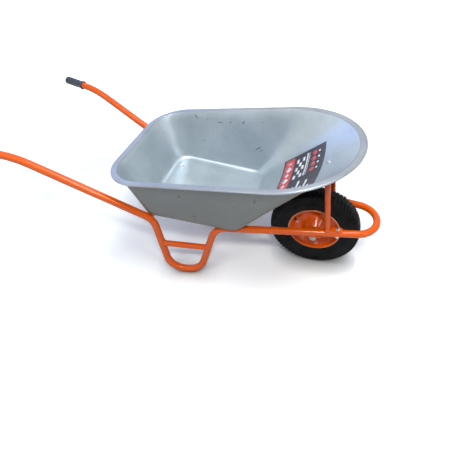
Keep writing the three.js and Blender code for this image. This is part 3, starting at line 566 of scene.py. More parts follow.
@dataclass
class Shop:
    """Where the frame has things, and how a finished mesh becomes a piece on it.

    Attributes:
        axle: the middle of the axle, in the frame's coordinates.
        reports: how many pieces and triangles have been made.
    """

    axle: Vector
    reports: dict[str, int] = field(default_factory=lambda: {"pieces": 0, "triangles": 0})

    @classmethod
    def from_frame(cls) -> "Shop":
        """Reads the axle's place from the CAD frame."""
        return cls(cls.middle("axle"))

    @staticmethod
    def middle(node: str) -> Vector:
        """The middle of a CAD node's box."""
        low, high = (Vector(corner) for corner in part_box(node))
        return (low + high) / 2

    def at(self, x: float, y: float, z: float) -> Vector:
        """A point whose X is measured from the axle and whose Z is measured from the ground."""
        return Vector((self.axle.x + x, y, z))

    def on_axle(self, bm: BMesh) -> BMesh:
        """Moves a mesh that was turned about the Y axis onto the axle."""
        bmesh.ops.translate(bm, verts=bm.verts, vec=self.axle)
        return bm

    def piece(
        self,
        name: str,
        bm: BMesh,
        finish: Finish,
        body: Body,
        replaces: Sequence[str] = (),
        smooth_angle: float = SMOOTH_ANGLE,
        more_finishes: Sequence[Finish] = (),
        fix_normals: bool = True,
    ) -> bpy.types.Object:
        """Makes a finished mesh into a piece that rides on a body.

        Args:
            name: the piece's name.
            bm: the mesh, in the frame's coordinates; it is freed here.
            finish: the finish, whose slot the piece takes.
            body: the body that the piece rides on.
            replaces: the CAD nodes that the piece stands for.
            smooth_angle: edges that turn by more than this stay sharp.
            more_finishes: finishes for faces with a material number above 0.
            fix_normals: whether the faces are turned to point outwards.

        Returns:
            The piece's object.
        """
        if fix_normals:
            bmesh.ops.recalc_face_normals(bm, faces=bm.faces)
        put_in_order(bm)
        mesh = bpy.data.meshes.new(name)
        bm.to_mesh(mesh)
        triangles = sum(len(face.verts) - 2 for face in bm.faces)
        bm.free()
        mesh.shade_smooth()
        mesh.set_sharp_from_angle(angle=smooth_angle)
        for each in (finish, *more_finishes):
            mesh.materials.append(each.material())
        obj = bpy.data.objects.new(name, mesh)
        bpy.context.scene.collection.objects.link(obj)
        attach(obj, body.value)
        if replaces:
            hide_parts(*replaces)
        self.reports["pieces"] += 1
        self.reports["triangles"] += triangles
        LOG.info("%s: %d triangles, on %s", name, triangles, body.value)
        return obj

    def keep_node(self, name: str, finish: Finish, round_edges: float = 0.0) -> None:
        """Dresses a CAD node that stays, and rounds its edges if they show.

        Args:
            name: the CAD node's name.
            finish: the finish that it gets.
            round_edges: the radius of its rounded edges in metres, or 0.
        """
        node = bpy.data.objects[name]
        node.data.materials.clear()
        node.data.materials.append(finish.material())
        if round_edges:
            weld = node.modifiers.new("weld", "WELD")
            weld.merge_threshold = CAD_SEAM
            bevel = node.modifiers.new("round edges", "BEVEL")
            bevel.width = round_edges
            bevel.segments = 3
            bevel.limit_method = "ANGLE"
            bevel.harden_normals = True
        LOG.info("%s: CAD node kept", name)


# ------------------------ bench tools


def new_parts(geometry: Iterable[object], kind: type) -> list:
    """Picks the vertices, edges or faces out of what an operator returned."""
    return [part for part in geometry if isinstance(part, kind)]


def put_in_order(bm: BMesh) -> None:
    """Sorts a mesh by place, since operators leave it in an order that changes from run to run.

    Args:
        bm: the mesh.
    """
    ranks = {vert: rank for rank, vert in enumerate(sorted(bm.verts, key=lambda vert: tuple(vert.co)))}
    bm.verts.sort(key=ranks.get)
    bm.verts.index_update()
    for parts in (bm.edges, bm.faces):
        ordered = sorted(parts, key=lambda part: sorted(vert.index for vert in part.verts))
        ranks = {part: rank for rank, part in enumerate(ordered)}
        parts.sort(key=ranks.get)


def fix_first_corners(bm: BMesh) -> None:
    """Starts each many-sided face at its lowest corner by place, so that every run splits it alike.

    Args:
        bm: the mesh.
    """
    for face in [face for face in bm.faces if len(face.verts) > 4]:
        corners = list(face.verts)
        first = corners.index(min(corners, key=lambda vert: tuple(vert.co)))
        bm.faces.remove(face)
        bm.faces.new([*corners[first:], *corners[:first]])


def stand(bm: BMesh, point: Vector, direction: Vector) -> BMesh:
    """Turns a mesh made along +Z so that it stands at a point, along a direction.

    Args:
        bm: the mesh.
        point: where its foot goes.
        direction: where its Z axis goes.

    Returns:
        The same mesh.
    """
    turn = direction.to_track_quat("Z", "Y").to_matrix().to_4x4()
    bmesh.ops.transform(bm, matrix=Matrix.Translation(point) @ turn, verts=bm.verts)
    return bm


def turned(profile: Sequence[tuple[float, float]], steps: int = 72, closed: bool = True) -> BMesh:
    """Turns a profile on a lathe, about the Y axis.

    Args:
        profile: points of radius and distance along the axis.
        steps: how many steps a full turn takes.
        closed: whether the last point joins the first.

    Returns:
        The turned mesh.
    """
    bm = bmesh.new()
    points = [bm.verts.new((radius, along, 0.0)) for radius, along in profile]
    pairs = list(zip(points, points[1:]))
    if closed:
        pairs.append((points[-1], points[0]))
    line = [bm.edges.new(pair) for pair in pairs]
    bmesh.ops.spin(
        bm,
        geom=[*points, *line],
        cent=(0, 0, 0),
        axis=ALONG_AXLE,
        angle=2 * math.pi,
        steps=steps,
        use_merge=True,
    )
    bmesh.ops.remove_doubles(bm, verts=bm.verts, dist=SAME_POINT)
    bmesh.ops.dissolve_degenerate(bm, edges=bm.edges, dist=SAME_POINT / 10)
    return bm


def soften(bm: BMesh, width: float, segments: int = 2, sharper_than: float = math.radians(35)) -> BMesh:
    """Rounds every edge that turns by more than an angle.

    Args:
        bm: the mesh.
        width: the width of the rounding.
        segments: its faces.
        sharper_than: the angle.

    Returns:
        The same mesh.
    """
    bm.normal_update()
    edges = [e for e in bm.edges if len(e.link_faces) == 2 and e.calc_face_angle(0.0) > sharper_than]
    bevel_edges(bm, edges, width, segments)
    return bm


def bevel_edges(bm: BMesh, edges: Sequence[BMEdge], width: float, segments: int, clamp: bool = True) -> None:
    """Rounds chosen edges.

    Args:
        bm: the mesh.
        edges: the edges.
        width: the width of the rounding.
        segments: its faces.
        clamp: whether it stops where roundings would meet.
    """
    bmesh.ops.bevel(
        bm,
        geom=edges,
        offset=width,
        offset_type="OFFSET",
        segments=segments,
        profile=0.5,
        affect="EDGES",
        material=-1,
        clamp_overlap=clamp,
    )


def at_height(low: Vector, high: Vector, height: float) -> Vector:
    """The point at a height on the line through two points."""
    return low.lerp(high, (height - low.z) / (high.z - low.z))


def spokes(radius: float, axis: Vector, count: int) -> list[Vector]:
    """Vectors of one length round an axis, of which the last repeats the first.

    Args:
        radius: their length.
        axis: the axis.
        count: how many there are in a full turn.

    Returns:
        The vectors.
    """
    turn = axis.to_track_quat("Z", "Y")
    angles = [2 * math.pi * k / count for k in range(count + 1)]
    return [turn @ Vector((radius * math.cos(a), radius * math.sin(a), 0.0)) for a in angles]


class TubeBender:
    """Feeds out tube as a bending machine does: straight lengths, and bends round a former."""

    def __init__(self, start: Vector, heading: Vector, radius: float, sides: int = 32) -> None:
        """Starts a tube.

        Args:
            start: the middle of its first end.
            heading: the direction in which it is fed.
            radius: its outside radius.
            sides: how many sides its section has.
        """
        self.bm = bmesh.new()
        self.point = start.copy()
        self.heading = heading.normalized()
        turn = self.heading.to_track_quat("Z", "Y").to_matrix().to_4x4()
        place = Matrix.Translation(start) @ turn
        bmesh.ops.create_circle(self.bm, cap_ends=True, segments=sides, radius=radius, matrix=place)
        self.edges: list[BMEdge] = list(self.bm.edges)
        self.verts: list[BMVert] = list(self.bm.verts)

    def feed(self, length: float) -> None:
        """Feeds out a straight length.

        Args:
            length: how much is fed out.
        """
        grown = bmesh.ops.extrude_edge_only(self.bm, edges=self.edges)["geom"]
        self._hold(grown)
        bmesh.ops.translate(self.bm, verts=self.verts, vec=self.heading * length)
        self.point += self.heading * length

    def turn_to(self, heading: Vector, radius: float, degrees_per_step: float = 5.0) -> None:
        """Bends the tube round a former until it heads another way.

        Args:
            heading: the way it heads after the bend.
            radius: the bend's radius, to the tube's centre line.
            degrees_per_step: how finely the bend is divided.
        """
        target = heading.normalized()
        axis = self.heading.cross(target).normalized()
        angle = self.heading.angle(target)
        centre = self.point + axis.cross(self.heading) * radius
        steps = max(3, round(math.degrees(angle) / degrees_per_step))
        swept = bmesh.ops.spin(
            self.bm,
            geom=[*self.verts, *self.edges],
            cent=centre,
            axis=axis,
            angle=angle,
            steps=steps,
            use_merge=False,
            use_duplicate=False,
        )
        self._hold(swept["geom_last"])
        self.point = centre + Quaternion(axis, angle) @ (self.point - centre)
        self.heading = target

    def follow(self, corners: Sequence[Vector], radii: Sequence[float]) -> None:
        """Follows a line of corners, each rounded by its own bend radius, to the last point.

        Args:
            corners: the corners and the last point.
            radii: each corner's bend radius.
        """
        for corner, after, radius in zip(corners, corners[1:], radii):
            heading = after - corner
            setback = radius * math.tan(self.heading.angle(heading) / 2)
            self.feed((corner - self.point).length - setback)
            self.turn_to(heading, radius)
        self.feed((corners[-1] - self.point).length)

    def cut(self) -> BMesh:
        """Closes the last end and gives the tube."""
        bmesh.ops.contextual_create(self.bm, geom=self.edges)
        return self.bm

    def _hold(self, grown: Iterable[object]) -> None:
        """Takes hold of the newest ring.

        Args:
            grown: what an operator has just made.
        """
        self.verts = new_parts(grown, BMVert)
        held = set(self.verts)
        edges = dict.fromkeys(e for v in self.verts for e in v.link_edges)
        self.edges = [e for e in edges if e.verts[0] in held and e.verts[1] in held]


@dataclass(frozen=True)
class WeldBead:
    """A weld laid by hand: overlapping ripples, no two of quite the same size.

    Attributes:
        radius: the bead's half width.
        pitch: the distance from one ripple to the next, as a share of the radius.
        crown: a ripple's height, as a share of its width.
        unevenness: how far a ripple's size strays, as a share.
        hurry: how fast the size strays along the bead, in waves a metre.
    """

    radius: float
    pitch: float = 0.85
    crown: float = 0.9
    unevenness: float = 0.16
    hurry: float = 400.0

    def lay(self, shop: Shop, name: str, path: Sequence[Vector]) -> None:
        """Lays the bead along a path.

        Args:
            shop: makes the piece.
            name: the piece's name.
            path: the points that the bead follows.
        """
        bm = bmesh.new()
        for start, end in zip(path, path[1:]):
            count = max(1, round((end - start).length / (self.radius * self.pitch)))
            for k in range(count):
                middle = start.lerp(end, k / count)
                swell = self.radius * (1.0 + self.unevenness * noise.noise(middle * self.hurry))
                size = Matrix.Diagonal((swell, swell, swell * self.crown, 1.0))
                matrix = Matrix.Translation(middle) @ size
                bmesh.ops.create_icosphere(bm, subdivisions=2, radius=1.0, matrix=matrix)
        shop.piece(name, bm, Finishes.ORANGE, Body.FRAME, smooth_angle=math.radians(80))


# ------------------------ tube frame


@dataclass
class TubeFrame:
    """The welded frame: two side tubes, leg braces, the front loop, cross bars and the front stay.

    A place along a side is X from the axle, and a pair is X and height.
    """

    shop: Shop
    tube: float = 0.015
    taper: float = 0.149  # how fast the sides close in, forwards
    joint_half_width: float = 0.096
    joint_x: float = 0.111
    rail_height: float = 0.260
    rail_rear_x: float = -0.383
    leg_front_x: float = -0.4635
    leg_rear_x: float = -0.594
    leg_splay: float = 0.014  # a foot's, out of its side's plane
    handle_bend: tuple[float, float] = (-0.626, 0.292)
    grip_bend: tuple[float, float] = (-1.083, 0.578)
    grip_tip: tuple[float, float] = (-1.236, 0.601)
    bends: tuple[float, ...] = (0.300, 0.072, 0.077, 0.072, 0.067)  # grip, handle, the foot's two, rail
    loop_bend: float = 0.08773
    grip_cap: float = 0.0043  # how far the tube stops short of the tip
    brace_radius: float = 0.0125
    brace_rear_z: float = 0.164
    brace_front_z: float = 0.147
    stay_radius: float = 0.011
    stay_foot_x: float = 0.058
    stay_bolt_x: float = 0.097
    stay_bend: float = 0.040
    stay_cad_facets: int = 8  # flats of the CAD model's stay tube
    foot_sheet: float = 0.005
    foot_width: float = 0.026
    foot_toe: float = 0.020
    foot_edge: float = 0.0009
    toe_flat: float = 0.0002  # what is left straight beside the round toe
    plate_edge: float = 0.0008
    brace_weld: WeldBead = WeldBead(0.0022)
    foot_weld: WeldBead = WeldBead(0.0019)
    bracket_weld: WeldBead = WeldBead(0.0024)
    bracket_weld_length: float = 0.024
    bracket_weld_drop: float = 0.0005

    def half_width(self, x: float) -> float:
        """The distance from the middle plane to a side's centre line."""
        return self.joint_half_width + self.taper * (self.joint_x - x)

    def on_side(self, x: float, z: float, side: Side) -> Vector:
        """A point on the upright plane that holds one side's centre line."""
        return self.shop.at(x, side.value * self.half_width(x), z)

    def side_corners(self, side: Side) -> list[Vector]:
        """The corners of a side's centre line, from the grip's tip to the loop's joint.

        Args:
            side: the side.

        Returns:
            The corners.
        """
        places = (
            self.grip_tip,
            self.grip_bend,
            self.handle_bend,
            (self.leg_rear_x, self.tube),
            (self.leg_front_x, self.tube),
            (self.rail_rear_x, self.rail_height),
            (self.joint_x, self.rail_height),
        )
        corners = [self.on_side(x, z, side) for x, z in places]
        for foot in corners[3:5]:
            foot.y += side.value * self.leg_splay
        return corners

    def brace_ends(self, side: Side) -> tuple[Vector, Vector]:
        """The rear and front ends of a brace, on the leg's centre line.

        Args:
            side: the side.

        Returns:
            The rear end and the front end.
        """
        corners = self.side_corners(side)
        rear = at_height(corners[2], corners[3], self.brace_rear_z)
        front = at_height(corners[5], corners[4], self.brace_front_z)
        return rear, front

    def build(self) -> None:
        """Makes every piece of the frame."""
        for side in Side:
            self.make_side_tube(side)
            self.make_brace(side)
            self.shop.keep_node(f"{side.word}_loop_spigot", Finishes.ZINC)
            self.shop.keep_node(f"{side.word}_axle_bracket", Finishes.ORANGE, self.plate_edge)
        self.make_loop()
        self.make_stay()
        self.shop.keep_node("rear_cross_bar", Finishes.ORANGE, self.plate_edge)
        self.shop.keep_node("front_cross_bar", Finishes.ORANGE, self.plate_edge)
        self.make_welds()

    def make_side_tube(self, side: Side) -> None:
        """Bends a handle, a leg and a rail from one tube.

        Args:
            side: the side.
        """
        corners = self.side_corners(side)
        heading = (corners[1] - corners[0]).normalized()
        bender = TubeBender(corners[0] + heading * self.grip_cap, heading, self.tube)
        corners[-1] -= (corners[-1] - corners[-2]).normalized() * GAP / 2
        bender.follow(corners[1:], self.bends)
        name = f"{side.word}_side_tube"
        self.shop.piece(f"{name}_bent", bender.cut(), Finishes.ORANGE, Body.FRAME, [name])

    def make_brace(self, side: Side) -> None:
        """Makes the short tube across a leg's bend. Its ends run into the leg's wall.

        Args:
            side: the side.
        """
        rear, front = self.brace_ends(side)
        heading = (front - rear).normalized()
        bender = TubeBender(rear, heading, self.brace_radius, sides=24)
        bender.feed((front - rear).length)
        name = f"{side.word}_leg_brace"
        self.shop.piece(f"{name}_tube", bender.cut(), Finishes.ORANGE, Body.FRAME, [name])

    def make_loop(self) -> None:
        """Bends the loop that runs round ahead of the wheel."""
        meet = self.joint_x + self.joint_half_width / self.taper
        left = self.on_side(self.joint_x, self.rail_height, Side.LEFT)
        right = self.on_side(self.joint_x, self.rail_height, Side.RIGHT)
        nose = self.shop.at(meet, 0.0, self.rail_height)
        heading = (nose - left).normalized()
        bender = TubeBender(left + heading * GAP / 2, heading, self.tube)
        bender.follow([nose, right - (right - nose).normalized() * GAP / 2], [self.loop_bend])
        self.shop.piece("front_loop_bent", bender.cut(), Finishes.ORANGE, Body.FRAME, ["front_loop"])

    def make_stay(self) -> None:
        """Bends the stay and welds a flat foot under each of its legs."""
        low, high = (Vector(corner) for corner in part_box("front_stay"))
        proud = self.stay_radius / math.cos(math.pi / self.stay_cad_facets)
        top_x, top_z = low.x - self.shop.axle.x + proud, high.z - proud
        foot_z = self.rail_height + self.tube + GAP + self.foot_sheet / 2
        half = self.half_width(self.stay_foot_x)
        feet = {side: self.shop.at(self.stay_foot_x, side.value * half, foot_z) for side in Side}
        tops = {side: self.shop.at(top_x, side.value * half, top_z) for side in Side}
        bender = TubeBender(feet[Side.LEFT], tops[Side.LEFT] - feet[Side.LEFT], self.stay_radius)
        bender.follow([tops[Side.LEFT], tops[Side.RIGHT], feet[Side.RIGHT]], [self.stay_bend] * 2)
        self.shop.piece("front_stay_bent", bender.cut(), Finishes.ORANGE, Body.FRAME, ["front_stay"])
        for side in Side:
            self.make_foot(side, feet[side])
            leg = (tops[side] - feet[side]).normalized()
            top = feet[side] + leg * self.foot_sheet / 2
            ring = [top + spoke for spoke in spokes(self.stay_radius, UP, 28)]
            self.foot_weld.lay(self.shop, f"{side.word}_stay_foot_weld", ring)

    def make_foot(self, side: Side, middle: Vector) -> None:
        """Cuts a stay's foot: a flat tongue along the rail, round at its toe.

        Args:
            side: the side that the foot stands on.
            middle: the place of the leg's centre line, half way through the foot's sheet.
        """
        reach = (self.stay_bolt_x - self.stay_foot_x) * math.hypot(1.0, self.taper) + self.foot_toe
        length = reach + self.stay_radius
        size = Matrix.Diagonal((length, self.foot_width, self.foot_sheet, 1.0))
        bm = bmesh.new()
        bmesh.ops.create_cube(bm, size=1.0, matrix=Matrix.Translation((reach - length / 2, 0.0, 0.0)) @ size)
        front = [e for e in bm.edges if all(v.co.x > 0 for v in e.verts)]
        toe = [e for e in front if e.verts[0].co.z != e.verts[1].co.z]
        bevel_edges(bm, toe, self.foot_width / 2 - self.toe_flat, 8)
        soften(bm, self.foot_edge)
        turn = Matrix.Rotation(-side.value * math.atan(self.taper), 4, "Z")
        bmesh.ops.transform(bm, matrix=Matrix.Translation(middle) @ turn, verts=bm.verts)
        self.shop.piece(f"{side.word}_stay_foot", bm, Finishes.ORANGE, Body.FRAME)

    def make_welds(self) -> None:
        """Lays the welds that hold the braces and the axle brackets."""
        for side in Side:
            rear, front = self.brace_ends(side)
            corners = self.side_corners(side)
            self.weld_round(f"{side.word}_brace_rear_weld", rear, front, (corners[2], corners[3]))
            self.weld_round(f"{side.word}_brace_front_weld", front, rear, (corners[4], corners[5]))
            self.weld_bracket(side)

    def weld_round(self, name: str, start: Vector, towards: Vector, leg: tuple[Vector, Vector]) -> None:
        """Lays a weld round a brace's end, where it meets a leg.

        Args:
            name: the piece's name.
            start: the brace's end, inside the leg.
            towards: the brace's other end.
            leg: two points on the leg's centre line.
        """
        along = (towards - start).normalized()
        line = (leg[1] - leg[0]).normalized()
        ring = [start + spoke for spoke in spokes(self.brace_radius, along, 32)]
        seam = [self.meet_tube(point, along, leg[0], line) for point in ring]
        self.brace_weld.lay(self.shop, name, seam)

    def meet_tube(self, point: Vector, along: Vector, on_line: Vector, line: Vector) -> Vector:
        """Where a line through a point comes out of a tube about another line.

        Args:
            point: a point on the first line.
            along: its direction.
            on_line: a point on the tube's centre line.
            line: its direction.

        Returns:
            The point on the tube's surface.
        """
        offset = point - on_line
        offset -= line * offset.dot(line)
        step = along - line * along.dot(line)
        a, b = step.length_squared, offset.dot(step)
        c = offset.length_squared - self.tube**2
        return point + along * ((-b + math.sqrt(max(b * b - a * c, 0.0))) / a)

    def weld_bracket(self, side: Side) -> None:
        """Lays short welds along an axle bracket's top, under the rail.

        Args:
            side: the side.
        """
        low, high = (Vector(corner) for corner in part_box(f"{side.word}_axle_bracket"))
        z = self.rail_height - self.tube - self.bracket_weld_drop
        for name, x in (("rear", low.x), ("front", high.x)):
            y = side.value * self.half_width(x - self.shop.axle.x)
            start = Vector((x, y - self.bracket_weld_length / 2, z))
            end = start + ALONG_AXLE * self.bracket_weld_length
            self.bracket_weld.lay(self.shop, f"{side.word}_bracket_{name}_weld", [start, end])


# ------------------------ grips


@dataclass
class Grip:
    """A soft sleeve pushed onto a handle's end, with a rounded end, shallow rings and a collar."""

    shop: Shop
    side: Side
    tube_frame: TubeFrame
    radius: float = 0.0175
    bore: float = 0.0153
    length: float = 0.092
    end_round: float = 0.006
    end_steps: int = 6
    end_wall: float = 0.004
    plain: float = 0.006  # from the rounded end to the first ring
    rings: int = 9
    ring_depth: float = 0.0006
    collar: float = 0.0023
    collar_width: float = 0.006
    collar_round: float = 0.0006

    def profile(self) -> list[tuple[float, float]]:
        """The sleeve's outline: its round end, its rings, its collar and its bore.

        Returns:
            Points of radius and distance from the tip.
        """
        points = [(0.0, 0.0)]
        for k in range(1, self.end_steps + 1):
            angle = math.pi / 2 * k / self.end_steps
            radius = self.radius - self.end_round * (1 - math.sin(angle))
            points.append((radius, self.end_round * (1 - math.cos(angle))))
        start, end = self.end_round + self.plain, self.length - 3 * self.collar_width
        pitch = (end - start) / self.rings
        for k in range(self.rings):
            low = start + pitch * k
            for share, depth in ((0.15, 0.0), (0.35, 1.0), (0.65, 1.0), (0.85, 0.0)):
                points.append((self.radius - self.ring_depth * depth, low + pitch * share))
        edge = self.radius + self.collar
        points += [
            (self.radius, self.length - 2 * self.collar_width),
            (edge - self.collar_round, self.length - self.collar_width),
            (edge, self.length - 0.7 * self.collar_width),
            (edge, self.length - 0.2 * self.collar_width),
            (edge - 2 * self.collar_round, self.length),
            (self.bore, self.length),
            (self.bore, self.end_wall),
            (0.0, self.end_wall),
        ]
        return points

    def build(self) -> None:
        """Turns the sleeve and pushes it onto its handle."""
        tip, bend = self.tube_frame.side_corners(self.side)[:2]
        bm = turned(self.profile(), steps=48)
        bmesh.ops.rotate(bm, verts=bm.verts, cent=(0, 0, 0), matrix=Matrix.Rotation(math.pi / 2, 3, "X"))
        stand(bm, tip, (bend - tip).normalized())
        name = f"{self.side.word}_grip"
        self.shop.piece(f"{name}_sleeve", bm, Finishes.GRIP, Body.FRAME, [name])


# ------------------------ tray


@dataclass
class TrayPlane:
    """One level of the tray, the floor or the edge: its outline's sizes and how it slopes."""

    rear_x: float
    front_x: float
    rear_half: float
    front_half: float
    rear_z: float
    front_z: float
    corner: float

    @property
    def normal(self) -> Vector:
        """The plane's upward normal."""
        return Vector((self.rear_z - self.front_z, 0.0, self.front_x - self.rear_x)).normalized()

    def lift(self, x: float, y: float) -> Vector:
        """A point on the plane, above a place on the ground."""
        slope = (self.front_z - self.rear_z) / (self.front_x - self.rear_x)
        return Vector((x, y, self.rear_z + slope * (x - self.rear_x)))


@dataclass
class Tray:
    """The pressed tray: a sloping floor, walls that lean out, a flat lip and a curled edge."""

    EDGE_FINISH = 2  # where build() puts the edge's painted shade

    shop: Shop
    floor: TrayPlane = field(
        default_factory=lambda: TrayPlane(-0.677, -0.266, 0.203, 0.195, 0.312, 0.2779, 0.062)
    )
    edge: TrayPlane = field(
        default_factory=lambda: TrayPlane(-0.773, 0.160, 0.279, 0.291, 0.5085, 0.6215, 0.149)
    )
    sheet: float = 0.001
    lip: float = 0.024  # from the wall to the edge
    curl: float = 0.0045
    nose: float = 0.303  # length of the edge's rounded front
    front_corner: float = 0.060
    crease_turn: float = 62.0  # degrees that the sheet turns at a crease
    floor_bend: float = 0.024
    lip_bend: float = 0.008
    rear_steps: int = 6
    corner_steps: int = 14
    side_steps: int = 12
    front_corner_steps: int = 20
    front_steps: int = 14
    wall_rows: int = 7
    curl_steps: int = 12
    swell: float = 0.0009
    swell_waves: tuple[float, float] = (5.0, 12.0)  # broad and fine, in waves a metre
    swell_calm: float = 0.04  # depth below the edge at which they are full
    edge_band: float = 0.0135  # depth that the edge's painted shade reaches

    def half_outline(self, plane: TrayPlane, front: list[tuple[float, float]]) -> list[tuple[float, float]]:
        """The left half of a level's outline, from the middle of the back to the middle of the front.

        Args:
            plane: the level.
            front: its points from the end of the side to the middle of the front.

        Returns:
            Places on the ground below the outline's points.
        """
        start = plane.rear_half - plane.corner
        points = [(plane.rear_x, start * k / self.rear_steps) for k in range(self.rear_steps)]
        for k in range(self.corner_steps + 1):
            angle = math.pi / 2 * k / self.corner_steps
            x = plane.rear_x + plane.corner * (1 - math.cos(angle))
            points.append((x, start + plane.corner * math.sin(angle)))
        (x0, y0), (x1, y1) = points[-1], front[0]
        for k in range(1, self.side_steps):
            share = k / self.side_steps
            points.append((x0 + (x1 - x0) * share, y0 + (y1 - y0) * share))
        return points + front

    def outline(self, plane: TrayPlane, front: list[tuple[float, float]]) -> list[Vector]:
        """A level's whole outline, clockwise from above, in the frame's coordinates.

        Args:
            plane: the level.
            front: its points from the end of the side to the middle of the front.

        Returns:
            The points.
        """
        half = self.half_outline(plane, front)
        right = [(x, -y) for x, y in half[1:-1]]
        return [plane.lift(x, y) + Vector((self.shop.axle.x, 0, 0)) for x, y in [*half, *reversed(right)]]

    def edge_outline(self) -> list[Vector]:
        """The outline of the tray's outer edge, whose nose is half an ellipse.

        Returns:
            The points.
        """
        steps = self.front_corner_steps + self.front_steps
        nose = []
        for k in range(steps + 1):
            angle = math.pi / 2 * k / steps
            x = self.edge.front_x - self.nose * (1 - math.sin(angle))
            nose.append((x, self.edge.front_half * math.cos(angle) if k < steps else 0.0))
        return self.outline(self.edge, nose)

    def floor_outline(self) -> list[Vector]:
        """The outline of the crease round the floor, whose front is straight.

        Returns:
            The points.
        """
        front = []
        straight = self.floor.front_half - self.front_corner
        for k in range(self.front_corner_steps + 1):
            angle = math.pi / 2 * k / self.front_corner_steps
            x = self.floor.front_x - self.front_corner * (1 - math.sin(angle))
            front.append((x, straight + self.front_corner * math.cos(angle)))
        for k in range(1, self.front_steps + 1):
            front.append((self.floor.front_x, straight * (1 - k / self.front_steps)))
        return self.outline(self.floor, front)

    @staticmethod
    def outward(outline: Sequence[Vector], up: Vector) -> list[Vector]:
        """Unit vectors that point out of an outline, in its own plane."""
        count = len(outline)
        return [up.cross(outline[(i + 1) % count] - outline[i - 1]).normalized() for i in range(count)]

    def sections(self) -> list[list[Vector]]:
        """The rings of the upper surface, from the floor's crease to the end of the curl.

        Returns:
            The rings, of which the one numbered wall_rows is the crease at the lip.
        """
        floor = self.floor_outline()
        edge = self.edge_outline()
        up = self.edge.normal
        out = self.outward(edge, up)
        wall_top = [p - o * self.lip for p, o in zip(edge, out)]
        rings = [floor]
        for row in range(1, self.wall_rows):
            share = row / self.wall_rows
            rings.append([a.lerp(b, share) for a, b in zip(floor, wall_top)])
        rings.append(wall_top)
        for k in range(self.curl_steps + 1):
            angle = 1.5 * math.pi * k / self.curl_steps
            rise = self.curl * (math.cos(angle) - 1)
            reach = self.curl * (math.sin(angle) - 1)
            rings.append([p + o * reach + up * rise for p, o in zip(edge, out)])
        return rings

    def press(self) -> BMesh:
        """Presses the tray's upper surface, ring by ring, and rounds its two creases.

        Returns:
            The mesh, without a thickness.
        """
        rings = self.sections()
        bm = bmesh.new()
        verts = [bm.verts.new(p) for p in rings[0]]
        edges = [bm.edges.new((a, b)) for a, b in zip(verts, verts[1:] + verts[:1])]
        bm.faces.new(verts)
        creases = {0: edges}
        for row, ring in enumerate(rings[1:], 1):
            grown = bmesh.ops.extrude_edge_only(bm, edges=edges)["geom"]
            fresh = set(new_parts(grown, BMVert))
            heirs = {self.parent(vert, fresh): vert for vert in fresh}
            verts = [heirs[vert] for vert in verts]
            for vert, place in zip(verts, ring):
                vert.co = place
            edges = [bm.edges.get((a, b)) for a, b in zip(verts, verts[1:] + verts[:1])]
            creases[row] = edges
        reach = math.tan(math.radians(self.crease_turn) / 2)
        for row, radius, segments in ((self.wall_rows, self.lip_bend, 4), (0, self.floor_bend, 7)):
            bevel_edges(bm, creases[row], radius * reach, segments, clamp=False)
        self.ripple(bm)
        self.mark_edge(bm)
        bmesh.ops.recalc_face_normals(bm, faces=bm.faces)
        return bm

    @staticmethod
    def parent(vert: BMVert, fresh: set[BMVert]) -> BMVert:
        """The older vertex that a fresh one has grown from."""
        return next(e.other_vert(vert) for e in vert.link_edges if e.other_vert(vert) not in fresh)

    def depth_below_edge(self, bm: BMesh) -> Callable[[Vector], float]:
        """Measures how far a point lies below the plane of the tray's edge.

        Args:
            bm: the pressed tray.

        Returns:
            A function that gives the depth of a point.
        """
        corner = Vector((max(v.co.x for v in bm.verts), 0.0, max(v.co.z for v in bm.verts)))
        slope = self.edge.normal
        return lambda point: (corner - point).dot(slope)

    def mark_edge(self, bm: BMesh) -> None:
        """Gives the flat lip and the curl the darker copy of the sheet, as painted shade.

        Args:
            bm: the pressed tray.
        """
        depth = self.depth_below_edge(bm)
        for face in bm.faces:
            if depth(face.calc_center_median()) < self.edge_band:
                face.material_index = self.EDGE_FINISH

    def ripple(self, bm: BMesh) -> None:
        """Lets the sheet swell and sink a little between its creases, as pressed sheet does.

        Args:
            bm: the pressed tray.
        """
        bm.normal_update()
        depth = self.depth_below_edge(bm)
        broad, fine = self.swell_waves
        for vert in bm.verts:
            wave = noise.noise(vert.co * broad) + 0.5 * noise.noise(vert.co * fine + FORWARDS)
            share = min(1.0, max(0.0, depth(vert.co) / self.swell_calm))
            vert.co += vert.normal * self.swell * wave * share

    def build(self) -> None:
        """Makes the tray. Each finish of its inside is followed by the one of its outside."""
        bm = self.press()
        if max(bm.faces, key=lambda f: f.calc_area()).normal.z < 0:
            bmesh.ops.reverse_faces(bm, faces=bm.faces)
        tray = self.shop.piece(
            "tray_pressed",
            bm,
            Finishes.SHEET,
            Body.FRAME,
            ["tray"],
            math.radians(60),
            [Finishes.OUTSIDE_SHADE_AND_SCUFFS, Finishes.EDGE, Finishes.OUTSIDE_SHADE_AND_SCUFFS],
            fix_normals=False,
        )
        wall = tray.modifiers.new("sheet thickness", "SOLIDIFY")
        wall.thickness = self.sheet
        wall.offset = -1.0
        wall.use_even_offset = True
        wall.material_offset = 1


# ------------------------ wheel


